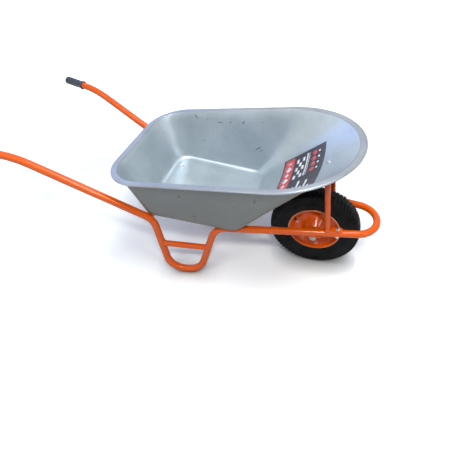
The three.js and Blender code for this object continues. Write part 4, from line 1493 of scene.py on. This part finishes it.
@dataclass
class Tyre:
    """A pneumatic barrow tyre: a closed section with moulded lugs and ridges on its sides."""

    shop: Shop
    radius: float = 0.190
    bead: float = 0.1036
    groove: float = 0.0040
    rib: float = 0.004  # half width of the rib in the middle
    shoulder: float = 0.018  # where the outer lugs begin
    tread_half: float = 0.0325  # where they end
    tread_drop: float = 0.0112  # how far below the crown lugs go
    draft: float = 0.0006  # how far a lug's top is drawn in
    pitches: int = 66
    steps_per_pitch: int = 5
    twist: float = 3.2  # radians for each metre from the middle
    twist_drop: float = 0.024  # how far below the crown the twist goes

    def outside(self) -> list[tuple[float, float]]:
        """The outside's half section, from the crown's middle to the bead's heel, below the lugs' tops.

        Returns:
            Points of radius and distance from the middle plane.
        """
        r = self.radius
        return [
            (r - self.groove, 0.0),
            (r - self.groove, self.rib),
            (r - self.groove - 0.0004, 0.011),
            (r - self.groove - 0.0010, self.shoulder),
            (r - self.groove - 0.0020, 0.0245),
            (r - self.groove - 0.0038, 0.0300),
            (r - self.groove - 0.0085, 0.0338),
            (r - 0.0200, 0.0356),
            (r - 0.0240, 0.0368),
            (r - 0.0262, 0.0366),
            (r - 0.0380, 0.0376),
            (r - 0.0460, 0.0375),
            (r - 0.0475, 0.0380),
            (r - 0.0500, 0.0380),
            (r - 0.0515, 0.0370),
            (r - 0.0600, 0.0356),
            (r - 0.0690, 0.0330),
            (r - 0.0740, 0.0312),
            (r - 0.0760, 0.0316),
            (r - 0.0780, 0.0306),
            (r - 0.0787, 0.0296),
            (self.bead, 0.0292),
        ]

    def inside(self) -> list[tuple[float, float]]:
        """The inside's half section, from the bead's toe to the crown's middle.

        Returns:
            Points of radius and distance from the middle plane.
        """
        r = self.radius
        return [
            (self.bead, 0.0205),
            (0.1100, 0.0235),
            (r - 0.0600, 0.0310),
            (r - 0.0380, 0.0325),
            (r - 0.0200, 0.0250),
            (r - 0.0130, 0.0120),
            (r - 0.0120, 0.0),
        ]

    def is_lug(self, step: int, y: float) -> bool:
        """Whether a patch of the crown stands up as tread.

        Args:
            step: the patch's number round the tyre.
            y: its middle's distance from the middle plane.

        Returns:
            Whether it does.
        """
        if abs(y) < self.rib:
            return True
        half = self.steps_per_pitch // 2
        shift = half * (y > 0) + half * (abs(y) > self.shoulder)
        return (step + shift) % self.steps_per_pitch != 0

    def build(self) -> None:
        """Moulds the tyre and raises its lugs."""
        out = self.outside()
        mirrored = [(r, -y) for r, y in reversed(out[1:])]
        inner = self.inside()
        back = [(r, -y) for r, y in reversed(inner[:-1])]
        steps = self.pitches * self.steps_per_pitch
        bm = turned([*mirrored, *out, *inner, *back], steps)
        lugs = []
        for face in bm.faces:
            middle = face.calc_center_median()
            reach = math.hypot(middle.x, middle.z)
            if reach < self.radius - self.tread_drop or abs(middle.y) > self.tread_half:
                continue
            turn = math.atan2(middle.z, middle.x) % (2 * math.pi)
            if self.is_lug(int(turn / (2 * math.pi) * steps + SAME_POINT), middle.y):
                lugs.append(face)
        self.twist_tread(bm)
        bmesh.ops.recalc_face_normals(bm, faces=bm.faces)
        raised = bmesh.ops.inset_region(
            bm,
            faces=lugs,
            thickness=self.draft,
            depth=self.groove,
            use_even_offset=True,
            use_boundary=True,
        )
        LOG.info("tyre lugs: %d edge faces", len(raised["faces"]))
        self.shop.on_axle(bm)
        self.shop.piece("tyre_moulded", bm, Finishes.TYRE, Body.WHEEL, ["tyre"], math.radians(38))

    def twist_tread(self, bm: BMesh) -> None:
        """Sweeps the tread back on both sides, so that its lugs lie as chevrons.

        Args:
            bm: the tyre, about the Y axis.
        """
        for vert in bm.verts:
            reach = math.hypot(vert.co.x, vert.co.z)
            if reach > self.radius - self.twist_drop:
                angle = self.twist * abs(vert.co.y)
                vert.co = Matrix.Rotation(angle, 3, "Y") @ vert.co


@dataclass
class Rim:
    """The rim: two halves pressed from sheet, bolted together round their waist."""

    shop: Shop
    sheet: float = 0.002
    width: float = 0.063
    flange: float = 0.110
    flange_roll: tuple[float, float] = (0.0012, 0.0008)
    flange_painted_highlight: float = 0.0026  # width of the flange's painted highlight
    seat: float = 0.101
    seat_width: float = 0.013
    seat_rise: float = 0.001
    well_slope: float = 0.004
    well: float = 0.088
    boss: float = 0.057
    boss_slope: float = 0.006
    hub_reach: float = 0.042
    cup: float = 0.02134
    crown: float = 0.005
    cup_floor: float = 0.0277
    cup_bore: float = 0.0174
    press: float = 0.0022  # rounding of the bends
    press_turn: float = 12.0  # degrees, above which a bend is rounded
    bolt_circle: float = 0.073
    bolts: int = 5
    first_bolt: float = -69.0  # degrees from the front

    def section(self) -> list[tuple[float, float]]:
        """The middle line of a half's sheet, from the bearing's seat to the rolled flange.

        Returns:
            Points of radius and distance from the middle plane.
        """
        face = (self.sheet + GAP) / 2
        edge = (self.width - self.sheet) / 2
        return [
            (self.cup_bore, self.cup_floor),
            (self.cup, self.cup_floor),
            (self.cup, self.hub_reach),
            (self.cup + self.crown, self.hub_reach),
            (self.boss - self.boss_slope, face + self.boss_slope),
            (self.boss + self.boss_slope / 2, face),
            (self.well, face),
            (self.seat - self.well_slope, edge - self.seat_width - self.well_slope),
            (self.seat, edge - self.seat_width),
            (self.seat + self.seat_rise, edge),
            (self.flange - self.flange_roll[0], edge),
            (self.flange, edge - self.flange_roll[1]),
        ]

    def build(self) -> None:
        """Presses both halves, and drills nothing: the bolts fill their holes."""
        for side in Side:
            profile = [(radius, side.value * along) for radius, along in self.section()]
            bm = turned(profile, steps=96, closed=False)
            soften(bm, self.press, 3, math.radians(self.press_turn))
            # The band at the flange's edge takes the paler coat: a painted highlight.
            for face in bm.faces:
                middle = face.calc_center_median()
                face.material_index = int(math.hypot(middle.x, middle.z) > self.flange - self.flange_painted_highlight)
            self.shop.on_axle(bm)
            bmesh.ops.recalc_face_normals(bm, faces=bm.faces)
            name = f"{side.word}_rim_half"
            half = self.shop.piece(
                f"{name}_pressed",
                bm,
                Finishes.ORANGE,
                Body.WHEEL,
                [name],
                math.radians(50),
                [Finishes.FLANGE_PAINTED_HIGHLIGHT],
            )
            wall = half.modifiers.new("sheet thickness", "SOLIDIFY")
            wall.thickness = self.sheet
            wall.offset = 0.0

    def bolt_places(self) -> list[Vector]:
        """The places of the bolts round the rim, from the axle.

        Returns:
            The places, in order.
        """
        places = []
        for k in range(self.bolts):
            angle = math.radians(self.first_bolt) + 2 * math.pi * k / self.bolts
            places.append(Vector((math.cos(angle), 0.0, math.sin(angle))) * self.bolt_circle)
        return places


# ------------------------ fasteners


@dataclass
class HexFastener:
    """Metric hexagon bolts and nuts."""

    across: float = 0.013
    head: float = 0.0053
    nut: float = 0.0065
    chamfer: float = 0.0007
    face: float = 0.0011  # height of the washer face
    face_share: float = 0.62  # its radius, as a share of 'across'
    shank: float = 0.004
    root: float = 0.001  # how far the shank runs up into the head
    tail: float = 0.0036  # of the shank, past the nut
    pitch: float = 0.00125
    thread: float = 0.00025
    turn: tuple[float, float] = (0.0003, 0.0009)  # foot and top of one turn of thread
    run_out: float = 0.003  # the threaded part of the tail

    def hexagon(self, height: float) -> BMesh:
        """A hexagon with chamfered corners, standing on Z = 0.

        Args:
            height: its height.

        Returns:
            The mesh.
        """
        bm = bmesh.new()
        corner = self.across / 2 / math.cos(math.pi / 6)
        bmesh.ops.create_cone(bm, cap_ends=True, segments=6, radius1=corner, radius2=corner, depth=height)
        bmesh.ops.translate(bm, verts=bm.verts, vec=(0, 0, height / 2))
        rims = [e for e in bm.edges if abs(e.verts[0].co.z - e.verts[1].co.z) < SAME_POINT]
        bevel_edges(bm, rims, self.chamfer, 2, clamp=False)
        return bm

    def add_round(self, bm: BMesh, radius: float, low: float, high: float, sides: int = 24) -> None:
        """Adds a round bar or disc to a fastener, along its axis.

        Args:
            bm: the fastener.
            radius: the bar's radius.
            low: its lower end.
            high: its upper end.
            sides: how many sides it has.
        """
        middle = Matrix.Translation((0, 0, (low + high) / 2))
        bmesh.ops.create_cone(
            bm, cap_ends=True, segments=sides, radius1=radius, radius2=radius, depth=high - low, matrix=middle
        )

    def bolt(self, stack: float) -> BMesh:
        """A bolt whose head stands on Z = 0, with a washer face and a shank through a stack.

        Args:
            stack: the thickness that it clamps.

        Returns:
            The mesh.
        """
        bm = self.hexagon(self.head)
        self.add_round(bm, self.across * self.face_share, 0.0, self.face, sides=32)
        low = -(stack + self.nut + self.tail)
        self.add_round(bm, self.shank, low, self.root)
        for k in range(int((self.nut + self.run_out) / self.pitch)):
            start, end = (low + self.pitch * k + step for step in self.turn)
            self.add_round(bm, self.shank + self.thread, start, end)
        fix_first_corners(bm)
        return bm


@dataclass
class Fasteners:
    """Every bolt and nut outside the hub, each at its CAD node's place."""

    shop: Shop
    rim: Rim
    m8: HexFastener = field(default_factory=HexFastener)
    floor_up: tuple[float, float, float] = (0.0827, 0.0, 0.9966)  # the way that the tray's floor faces
    nose_up: tuple[float, float, float] = (-0.6455, 0.0, 0.7637)  # the way that its front wall faces
    washer: float = 0.014
    washer_sheet: float = 0.0012
    washer_edge: float = 0.0004

    def build(self) -> None:
        """Replaces the CAD bolts and nuts with chamfered ones."""
        floor_up, nose_up = Vector(self.floor_up), Vector(self.nose_up)
        for side in Side:
            self.pair(f"{side.word}_stay", UP)
            seat = self.pair(f"{side.word}_tray", floor_up)
            self.make_washer(f"{side.word}_tray", seat, floor_up)
        self.pair("tray_front", nose_up)
        for k in range(1, self.rim.bolts + 1):
            self.rim_pair(k)

    def make_washer(self, stem: str, seat: Vector, up: Vector) -> None:
        """Lays a wide washer on the sheet, round a bolt's head.

        Args:
            stem: the bolt's name, without its last word.
            seat: where the head sits.
            up: the way that the sheet faces.
        """
        bm = bmesh.new()
        self.m8.add_round(bm, self.washer, 0.0, self.washer_sheet, sides=40)
        soften(bm, self.washer_edge)
        stand(bm, seat, up.normalized())
        self.shop.piece(f"{stem}_washer", bm, Finishes.ZINC, Body.FRAME)

    def pair(self, stem: str, up: Vector) -> Vector:
        """Makes one bolt of the frame and its nut.

        Args:
            stem: the bolt's name, without its last word.
            up: the direction from the nut to the head.

        Returns:
            The place where the head sits.
        """
        up = up.normalized()
        bolt_mid, nut_mid = self.shop.middle(f"{stem}_bolt"), self.shop.middle(f"{stem}_nut")
        reach = self.reach(f"{stem}_bolt", bolt_mid, up)
        seat = bolt_mid + up * (reach - self.m8.head)
        nut_face = nut_mid + up * (self.m8.nut / 2)
        stack = (seat - nut_face).dot(up)
        bolt = stand(self.m8.bolt(stack), seat, up)
        self.shop.piece(f"{stem}_bolt_forged", bolt, Finishes.ZINC, Body.FRAME, [f"{stem}_bolt"])
        nut = stand(self.m8.hexagon(self.m8.nut), nut_face - up * self.m8.nut, up)
        self.shop.piece(f"{stem}_nut_forged", nut, Finishes.ZINC, Body.FRAME, [f"{stem}_nut"])
        return seat

    @staticmethod
    def reach(node: str, middle: Vector, up: Vector) -> float:
        """How far a CAD node's mesh reaches from a point along a direction."""
        return max((v.co - middle).dot(up) for v in bpy.data.objects[node].data.vertices)

    def rim_pair(self, number: int) -> None:
        """Makes one of the bolts that clamp the rim, with its nut on the left.

        Args:
            number: the bolt's number, from 1.
        """
        place = self.rim.bolt_places()[number - 1] + self.shop.axle
        face = self.rim.sheet + GAP * 1.5
        out = -ALONG_AXLE
        bolt = stand(self.m8.bolt(2 * face), place + out * face, out)
        nut = stand(self.m8.hexagon(self.m8.nut), place - out * (face + self.m8.nut), out)
        for node, bm in ((f"rim_bolt_{number}", bolt), (f"rim_nut_{number}", nut)):
            self.shop.piece(f"{node}_forged", bm, Finishes.ORANGE, Body.WHEEL, [node])


# ------------------------ hub


@dataclass
class Hub:
    """The axle with what it carries, and the two bearings."""

    shop: Shop
    axle: float = 0.008
    bore: float = 0.0084
    sleeve: float = 0.0122
    race_inside: float = 0.0166
    race_outside: float = 0.0200
    nut_across: float = 0.024
    nut_height: float = 0.009
    washer: float = 0.015
    edge: float = 0.0004  # the broken edges of rings
    thread: float = 0.0006
    pitch: float = 0.0015
    threaded: float = 0.018  # at each end of the axle
    chamfer: float = 0.0012
    shield_bore: float = 0.0127
    shield_sheet: float = 0.0006
    shield_inset: float = 0.0008
    steps: int = 48

    def span(self, node: str) -> tuple[float, float]:
        """The lowest and highest Y of a CAD node."""
        low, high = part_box(node)
        return low[1] - self.shop.axle.y, high[1] - self.shop.axle.y

    def ring(self, node: str, inside: float, outside: float, finish: Finish, body: Body) -> None:
        """Turns a plain ring with broken edges, in the place of a CAD node.

        Args:
            node: the CAD node.
            inside: the ring's inside radius.
            outside: its outside radius.
            finish: its finish.
            body: the body that it rides on.
        """
        low, high = self.span(node)
        edge = self.edge
        profile = [
            (inside, low + edge),
            (inside + edge, low),
            (outside - edge, low),
            (outside, low + edge),
            (outside, high - edge),
            (outside - edge, high),
            (inside + edge, high),
            (inside, high - edge),
        ]
        bm = self.shop.on_axle(turned(profile, self.steps))
        self.shop.piece(f"{node}_turned", bm, finish, body, [node])

    def build(self) -> None:
        """Makes the axle, its spacers, washers and nuts, and the bearings."""
        self.make_axle()
        self.ring("bearing_spacer", self.bore, self.sleeve, Finishes.ZINC, Body.FRAME)
        for side in Side:
            word = side.word
            self.ring(f"{word}_axle_spacer", self.bore, self.sleeve, Finishes.ZINC, Body.FRAME)
            self.ring(f"{word}_axle_washer", self.bore, self.washer, Finishes.DULL_ZINC, Body.FRAME)
            race = f"{word}_bearing_inner_race"
            self.ring(race, self.bore, self.sleeve, Finishes.BEARING, Body.FRAME)
            race = f"{word}_bearing_outer_race"
            self.ring(race, self.race_inside, self.race_outside, Finishes.BEARING, Body.WHEEL)
            self.make_shield(side)
            self.shop.keep_node(f"{word}_ball_cage", Finishes.BEARING)
            self.make_nut(side)

    def make_axle(self) -> None:
        """Turns the axle, with a thread near each end."""
        end = self.span("axle")[1]
        half = [(0.0, end), (self.axle - self.chamfer, end)]
        y = end - self.chamfer
        while y > end - self.threaded:
            half += [(self.axle, y), (self.axle - self.thread, y - self.pitch / 2)]
            y -= self.pitch
        half.append((self.axle, y))
        profile = [*half, *[(r, -along) for r, along in reversed(half)]]
        bm = turned(profile, self.steps, closed=False)
        self.shop.piece("axle_turned", self.shop.on_axle(bm), Finishes.DULL_ZINC, Body.FRAME, ["axle"])

    def make_nut(self, side: Side) -> None:
        """Makes a chamfered axle nut.

        Args:
            side: the side.
        """
        node = f"{side.word}_axle_nut"
        low, high = self.span(node)
        bm = HexFastener(self.nut_across).hexagon(self.nut_height)
        start = self.shop.axle + ALONG_AXLE * (low if side is Side.LEFT else high)
        stand(bm, start, ALONG_AXLE * side.value)
        self.shop.piece(f"{node}_forged", bm, Finishes.DULL_ZINC, Body.FRAME, [node])

    def make_shield(self, side: Side) -> None:
        """Turns the thin shield that closes a bearing's outer side.

        Args:
            side: the side.
        """
        low, high = self.span(f"{side.word}_bearing_outer_race")
        face = high - self.shield_inset if side is Side.LEFT else low + self.shield_inset
        back = face - side.value * self.shield_sheet
        inside, outside = self.shield_bore, self.race_inside
        profile = [(inside, face), (outside, face), (outside, back), (inside, back)]
        bm = self.shop.on_axle(turned(profile, self.steps))
        self.shop.piece(f"{side.word}_bearing_shield", bm, Finishes.BEARING, Body.WHEEL)


@dataclass
class Valve:
    """The inner tube's rubber valve stem, with its metal tip and cap."""

    shop: Shop
    angle: float = 161.0  # degrees from the front
    seat: tuple[float, float] = (0.0925, -0.007325)  # from the axle, and along it
    slope: tuple[float, float] = (-0.808, -0.589)  # the way it points, in the same two parts
    reach: float = 0.0215
    cap_overlap: float = 0.0092
    steps: int = 28

    def build(self) -> None:
        """Turns the stem and the cap along the valve's direction."""
        turn = math.radians(self.angle)
        radial = Vector((math.cos(turn), 0.0, math.sin(turn)))
        point = self.shop.axle + radial * self.seat[0] + ALONG_AXLE * self.seat[1]
        inwards = (radial * self.slope[0] + ALONG_AXLE * self.slope[1]).normalized()
        stem = [
            (0.0, -0.018),
            (0.0036, -0.018),
            (0.0036, 0.0014),
            (0.0056, 0.0022),
            (0.0056, 0.0050),
            (0.0038, 0.0066),
            (0.0034, 0.0190),
            (0.0026, 0.0196),
            (0.0026, self.reach),
            (0.0, self.reach),
        ]
        base = self.reach + GAP - self.cap_overlap
        cap = [
            (0.0, base + 0.0110),
            (0.0035, base + 0.0110),
            (0.0046, base + 0.0100),
            (0.0050, base + 0.0080),
            (0.0050, base + 0.0004),
            (0.0046, base),
            (0.0034, base),
            (0.0034, base + 0.0095),
            (0.0, base + 0.0095),
        ]
        stem_bm, cap_bm = (self.along(profile, point, inwards) for profile in (stem, cap))
        self.shop.piece("valve_stem_moulded", stem_bm, Finishes.BUTYL, Body.WHEEL, ["valve_stem"])
        self.shop.piece("valve_cap_knurled", cap_bm, Finishes.BRASS, Body.WHEEL, ["valve_cap"])

    def along(self, profile: list[tuple[float, float]], point: Vector, direction: Vector) -> BMesh:
        """Turns a profile whose heights run along a direction from a point.

        Args:
            profile: points of radius and height.
            point: where height is 0.
            direction: the direction.

        Returns:
            The mesh.
        """
        bm = turned([(radius, -height) for radius, height in profile], self.steps)
        bmesh.ops.rotate(bm, verts=bm.verts, cent=(0, 0, 0), matrix=Matrix.Rotation(-math.pi / 2, 3, "X"))
        return stand(bm, point, direction)


# ------------------------ label


@dataclass
class Label:
    """A printed film on the inside of the tray's front wall, with plain shapes and no words.

    Places on it are measured in metres, across from its middle and up from its foot.
    """

    shop: Shop
    tray: Tray
    middle: float = 0.010
    foot_z: float = 0.362
    width: float = 0.300
    height: float = 0.227
    inside_x: float = -0.30  # a place inside the tray, from which the wall is found
    film: float = 0.0004  # how far the film lies off the wall
    film_sheet: float = 0.0002
    ink: float = 0.00025  # how far the ink lies off the film
    cell: float = 0.006
    stride: float = 0.003
    lean: float = -6.0  # degrees
    margin: float = 0.006
    band: float = 0.062  # the top of the foot band
    block: tuple[float, float] = (0.004, 0.134)  # where the chequers begin and end, across

    def build(self) -> None:
        """Lays the black film and its printed shapes on the wall."""
        surface = self.tray.press()
        wall = BVHTree.FromBMesh(surface)
        surface.free()
        film = self.sheet_of(-self.width / 2, self.width / 2, 0.0, self.height)
        self.lay(wall, "label_film", film, Finishes.INK_BLACK, self.film)
        white, red = bmesh.new(), bmesh.new()
        self.print_shapes(white, red)
        self.lay(wall, "label_white_print", white, Finishes.INK_WHITE, self.film + self.ink)
        self.lay(wall, "label_red_print", red, Finishes.INK_RED, self.film + self.ink)

    def sheet_of(self, left: float, right: float, low: float, high: float, bm: BMesh | None = None) -> BMesh:
        """A flat rectangle of small cells, added to a mesh or on its own.

        Args:
            left: where it begins, across.
            right: where it ends.
            low: its foot.
            high: its top.
            bm: the mesh that takes it, if there is one.

        Returns:
            The mesh.
        """
        bm = bm or bmesh.new()
        columns = max(1, round((right - left) / self.cell))
        rows = max(1, round((high - low) / self.cell))
        scale = Matrix.Diagonal(((right - left) / 2, (high - low) / 2, 1.0, 1.0))
        place = Matrix.Translation(((left + right) / 2, (low + high) / 2, 0.0))
        bmesh.ops.create_grid(bm, x_segments=columns, y_segments=rows, size=1.0, matrix=place @ scale)
        return bm

    def disc(self, bm: BMesh, across: float, up: float, radius: float, corners: int = 24) -> None:
        """A flat disc, or a diamond with four corners.

        Args:
            bm: the mesh that takes it.
            across: its middle's place across.
            up: its middle's height.
            radius: its radius.
            corners: how many corners it has.
        """
        place = Matrix.Translation((across, up, 0.0))
        bmesh.ops.create_circle(
            bm, cap_ends=True, cap_tris=True, segments=corners, radius=radius, matrix=place
        )

    def print_shapes(self, white: BMesh, red: BMesh) -> None:
        """Draws the pattern: a red foot band with diamonds, stacked bars, chequers, dots and keylines.

        Args:
            white: takes the white shapes.
            red: takes the red ones.
        """
        half = self.width / 2 - self.margin
        begin, end = self.block
        self.sheet_of(-half, half, self.margin, self.band, red)
        for k in range(8):
            self.disc(white, -0.119 + 0.034 * k, 0.034, 0.012 if k % 2 else 0.018, 4)
        for k in range(6):
            low, length = 0.076 + 0.0215 * k, 0.052 + 0.014 * (k * 2 % 5)
            self.sheet_of(-end, -end + length, low, low + 0.011, white)
        for row in range(3):
            for column in range(row % 2, 5, 2):
                left, low = begin + 0.024 * column, 0.076 + 0.016 * row
                self.sheet_of(left, left + 0.022, low, low + 0.014, white)
        self.sheet_of(begin, end, 0.130, 0.137, white)
        self.sheet_of(begin, end, 0.142, 0.145, white)
        for k in range(4):
            self.disc(red, 0.022 + 0.032 * k, 0.170, 0.0125)
            self.disc(white, 0.022 + 0.032 * k, 0.196, 0.006, 6)

    def lay(self, wall: BVHTree, name: str, flat: BMesh, finish: Finish, lift: float) -> None:
        """Lays flat shapes on the wall, at a height above it, and gives them a thickness.

        Args:
            wall: the wall's surface.
            name: the piece's name.
            flat: the flat shapes.
            finish: their finish.
            lift: their height above the wall.
        """
        start = self.shop.at(self.inside_x, self.middle, self.foot_z)
        foot, normal, _, _ = wall.ray_cast(start, FORWARDS)
        lean = math.radians(self.lean)
        upwards = self.walk(wall, foot, normal, Matrix.Rotation(lean, 3, normal) @ UP, self.height)
        across = {
            sign: [
                self.walk(wall, p, n, Matrix.Rotation(lean, 3, n) @ (ALONG_AXLE * sign), self.width / 2)
                for p, n in upwards
            ]
            for sign in (-1, 1)
        }
        for vert in flat.verts:
            row, rise = divmod(vert.co.y / self.stride, 1.0)
            column, slide = divmod(abs(vert.co.x) / self.stride, 1.0)
            lines = across[-1 if vert.co.x < 0 else 1]
            rows = [lines[min(int(row) + k, len(lines) - 1)] for k in (0, 1)]
            points = []
            for line in rows:
                (a, n), (b, _) = (line[min(int(column) + k, len(line) - 1)] for k in (0, 1))
                points.append((a.lerp(b, slide), n))
            vert.co = points[0][0].lerp(points[1][0], rise) + points[0][1] * lift
        bmesh.ops.recalc_face_normals(flat, faces=flat.faces)
        if sum(f.normal.x for f in flat.faces) > 0:
            bmesh.ops.reverse_faces(flat, faces=flat.faces)
        angle = math.radians(60)
        piece = self.shop.piece(name, flat, finish, Body.FRAME, smooth_angle=angle, fix_normals=False)
        film = piece.modifiers.new("film thickness", "SOLIDIFY")
        film.thickness = self.film_sheet
        film.offset = -1.0

    def walk(
        self, wall: BVHTree, point: Vector, normal: Vector, heading: Vector, length: float
    ) -> list[tuple[Vector, Vector]]:
        """Walks straight ahead on the wall in even strides, as a film lies.

        Args:
            wall: the wall's surface.
            point: the start, on the wall.
            normal: the wall's normal there.
            heading: the direction to set out in.
            length: how far to walk.

        Returns:
            Each footprint, with the wall's normal towards the tray's inside.
        """
        steps = []
        for _ in range(math.ceil(length / self.stride) + 2):
            normal = normal if normal.x < 0 else -normal
            steps.append((point, normal))
            heading = (heading - normal * heading.dot(normal)).normalized()
            point, normal, _, _ = wall.find_nearest(point + heading * self.stride)
        return steps


# ------------------------ studio


def shown(tree: bpy.types.NodeTree) -> bpy.types.NodeSocket:
    """A value of 1 for what the camera, a reflection or clear glass sees, and 0 for soft light.

    Args:
        tree: the material's or world's node tree.

    Returns:
        The socket of that value.
    """
    rays = add_node(tree, "LightPath")
    seen = rays.outputs["Is Camera Ray"]
    for kind in ("Is Glossy Ray", "Is Transmission Ray"):
        seen = add_node(tree, "Math", {0: seen, 1: rays.outputs[kind]}, operation="MAXIMUM").outputs[0]
    return seen


@dataclass
class Studio:
    """The pale floor, the lamps, the surroundings and the camera."""

    shop: Shop
    azimuth: float = 12.65
    elevation: float = 39.36
    roll: float = -0.39
    eye: tuple[float, float, float] = (0.08436, -1.21121, 1.39571)
    lens: float = 31.724
    shift: tuple[float, float] = (-0.1042, -0.0885)
    sky_strength: float = 0.5
    paper_glow: float = 0.02
    contact: float = 0.09  # how far from the barrow its contact shadow reaches
    contact_depth: float = 1.4
    floor_half: float = 14.0
    floor_drop: float = 0.0005
    paper: tuple[float, float, float, float] = (1.055, 1.08, 1.085, 1.0)
    bounce: float = 0.4  # the paper's grey for soft light
    glow_span: tuple[float, float] = (1.0, 1.8)  # where the paper turns from shaded to plain white

    def build(self) -> None:
        """Sets up the whole studio."""
        self.lay_floor()
        self.hang_lamps()
        self.light_world()
        self.place_camera()
        bpy.context.scene.view_settings.view_transform = "Standard"

    def lay_floor(self) -> None:
        """Lays a wide floor that shows white, with the barrow's shadow on it."""
        bm = bmesh.new()
        bmesh.ops.create_grid(bm, x_segments=1, y_segments=1, size=self.floor_half)
        bmesh.ops.translate(bm, verts=bm.verts, vec=-UP * self.floor_drop)
        mesh = bpy.data.meshes.new("studio_floor")
        bm.to_mesh(mesh)
        bm.free()
        floor = bpy.data.objects.new("studio_floor", mesh)
        bpy.context.scene.collection.objects.link(floor)
        paper = bpy.data.materials.new("studio_paper")
        paper.use_nodes = True
        tree = paper.node_tree
        tree.nodes.clear()
        near = add_node(tree, "AmbientOcclusion", {"Distance": self.contact}, samples=16).outputs["AO"]
        dark = add_node(tree, "Math", {0: near, 1: self.contact_depth}, operation="POWER").outputs[0]
        shade = add_node(tree, "MixRGB", {0: dark, 1: (0, 0, 0, 1), 2: self.paper})
        seen = add_node(tree, "BsdfDiffuse", {"Color": shade.outputs[0]})
        place = add_node(tree, "TexCoord").outputs["Object"]
        reach = add_node(tree, "VectorMath", {0: place}, operation="LENGTH").outputs["Value"]
        start, end = self.glow_span
        far = add_node(tree, "MapRange", {0: reach, 1: start, 2: end, 3: self.paper_glow, 4: 1.0})
        glow = add_node(tree, "Emission", {"Strength": far.outputs[0]})
        bright = add_node(tree, "AddShader", {0: seen.outputs[0], 1: glow.outputs[0]})
        bounce = add_node(tree, "BsdfDiffuse", {"Color": (self.bounce, self.bounce, self.bounce, 1.0)})
        mix = add_node(tree, "MixShader", {0: shown(tree), 1: bounce.outputs[0], 2: bright.outputs[0]})
        add_node(tree, "OutputMaterial", {"Surface": mix.outputs[0]})
        mesh.materials.append(paper)

    def hang_lamps(self) -> None:
        """Hangs the box lights and a bluish screen, and points each at the tray or the wheel."""
        at = self.shop.at
        tray, wheel = at(-0.30, 0.0, 0.40), at(0.0, 0.0, 0.25)
        self.lamp("left_front_box", at(-1.1, -1.7, 2.4), tray, (1.4, 0.4), 15.0, "#FFFFFF")
        self.lamp("overhead_box", at(0.25, -0.35, 3.0), tray, (1.1, 1.1), 50.0, "#FFFFFF")
        self.lamp("front_box", at(0.4, -1.6, 2.5), wheel, (0.32, 0.24), 27.0, "#FFFCF8")
        self.lamp("rear_high_box", at(-0.3, 1.3, 3.0), tray, (1.4, 0.6), 3.0, "#FFFFFF")
        self.lamp("rear_box", at(-0.7, 2.1, 2.3), tray, (1.3, 0.5), 2.0, "#FFFFFF")
        self.lamp("blue_screen", at(-2.45, 1.85, 2.0), tray, (2.3, 1.3), 13.0, "#6C9CFF")
        self.lamp("right_key", at(1.9, -1.3, 1.6), wheel, (0.4, 0.4), 8.0, "#FFF8F0")

    def lamp(
        self, name: str, place: Vector, target: Vector, size: tuple[float, float], watts: float, tint: str
    ) -> None:
        """Hangs one box light that points at a target.

        Args:
            name: the lamp's name.
            place: where it hangs.
            target: where it points.
            size: its width and height.
            watts: its power.
            tint: its sRGB colour.
        """
        light = bpy.data.lights.new(name, "AREA")
        light.shape = "RECTANGLE"
        light.size, light.size_y = size
        light.energy = watts
        light.color = colour(tint)[:3]
        lamp = bpy.data.objects.new(name, light)
        lamp.location = place
        lamp.rotation_mode = "QUATERNION"
        lamp.rotation_quaternion = (target - place).to_track_quat("-Z", "Y")
        lamp.visible_camera = False
        bpy.context.scene.collection.objects.link(lamp)

    def light_world(self) -> None:
        """Surrounds the barrow with a sky that is brighter overhead and white behind it."""
        world = bpy.data.worlds.new("studio_world")
        bpy.context.scene.world = world
        world.use_nodes = True
        tree = world.node_tree
        tree.nodes.clear()
        direction = add_node(tree, "TexCoord").outputs["Generated"]
        height = add_node(tree, "SeparateXYZ", {0: direction}).outputs["Z"]
        sky = add_node(tree, "ValToRGB", {0: height}, [(0.0, "#B8BCC2"), (0.3, "#C6CCD4"), (1.0, "#E6ECF4")])
        lit = add_node(tree, "Background", {"Color": sky.outputs["Color"], "Strength": self.sky_strength})
        white = add_node(tree, "Background", {"Color": (1.0, 1.0, 1.0, 1.0), "Strength": 1.0})
        mix = add_node(tree, "MixShader", {0: shown(tree), 1: lit.outputs[0], 2: white.outputs[0]})
        add_node(tree, "OutputWorld", {"Surface": mix.outputs[0]})

    def place_camera(self) -> None:
        """Stands the camera on the pusher's right, looking down."""
        turn, tilt = math.radians(self.azimuth), math.radians(self.elevation)
        level = math.cos(tilt)
        back = Vector((math.sin(turn) * level, -math.cos(turn) * level, math.sin(tilt)))
        data = bpy.data.cameras.new("camera")
        data.lens = self.lens
        data.sensor_width = 36.0
        data.shift_x, data.shift_y = self.shift
        camera = bpy.data.objects.new("camera", data)
        camera.location = self.shop.at(*self.eye)
        camera.rotation_mode = "QUATERNION"
        aim = (-back).to_track_quat("-Z", "Y")
        camera.rotation_quaternion = aim @ Quaternion(UP, math.radians(self.roll))
        bpy.context.scene.collection.objects.link(camera)
        bpy.context.scene.camera = camera


# ------------------------ assembly


def main() -> None:
    """Builds the barrow's looks around its frame, in order."""
    logging.basicConfig(level=logging.INFO, format="%(name)s: %(message)s")
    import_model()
    shop = Shop.from_frame()
    tube_frame, tray, rim = TubeFrame(shop), Tray(shop), Rim(shop)
    Studio(shop).build()
    tube_frame.build()
    for side in Side:
        Grip(shop, side, tube_frame).build()
    tray.build()
    Label(shop, tray).build()
    Tyre(shop).build()
    rim.build()
    shop.keep_node("inner_tube", Finishes.BUTYL)
    Hub(shop).build()
    Valve(shop).build()
    Fasteners(shop, rim).build()
    LOG.info("%(pieces)d pieces, %(triangles)d triangles before modifiers", shop.reports)


if __name__ == "__main__":
    main()
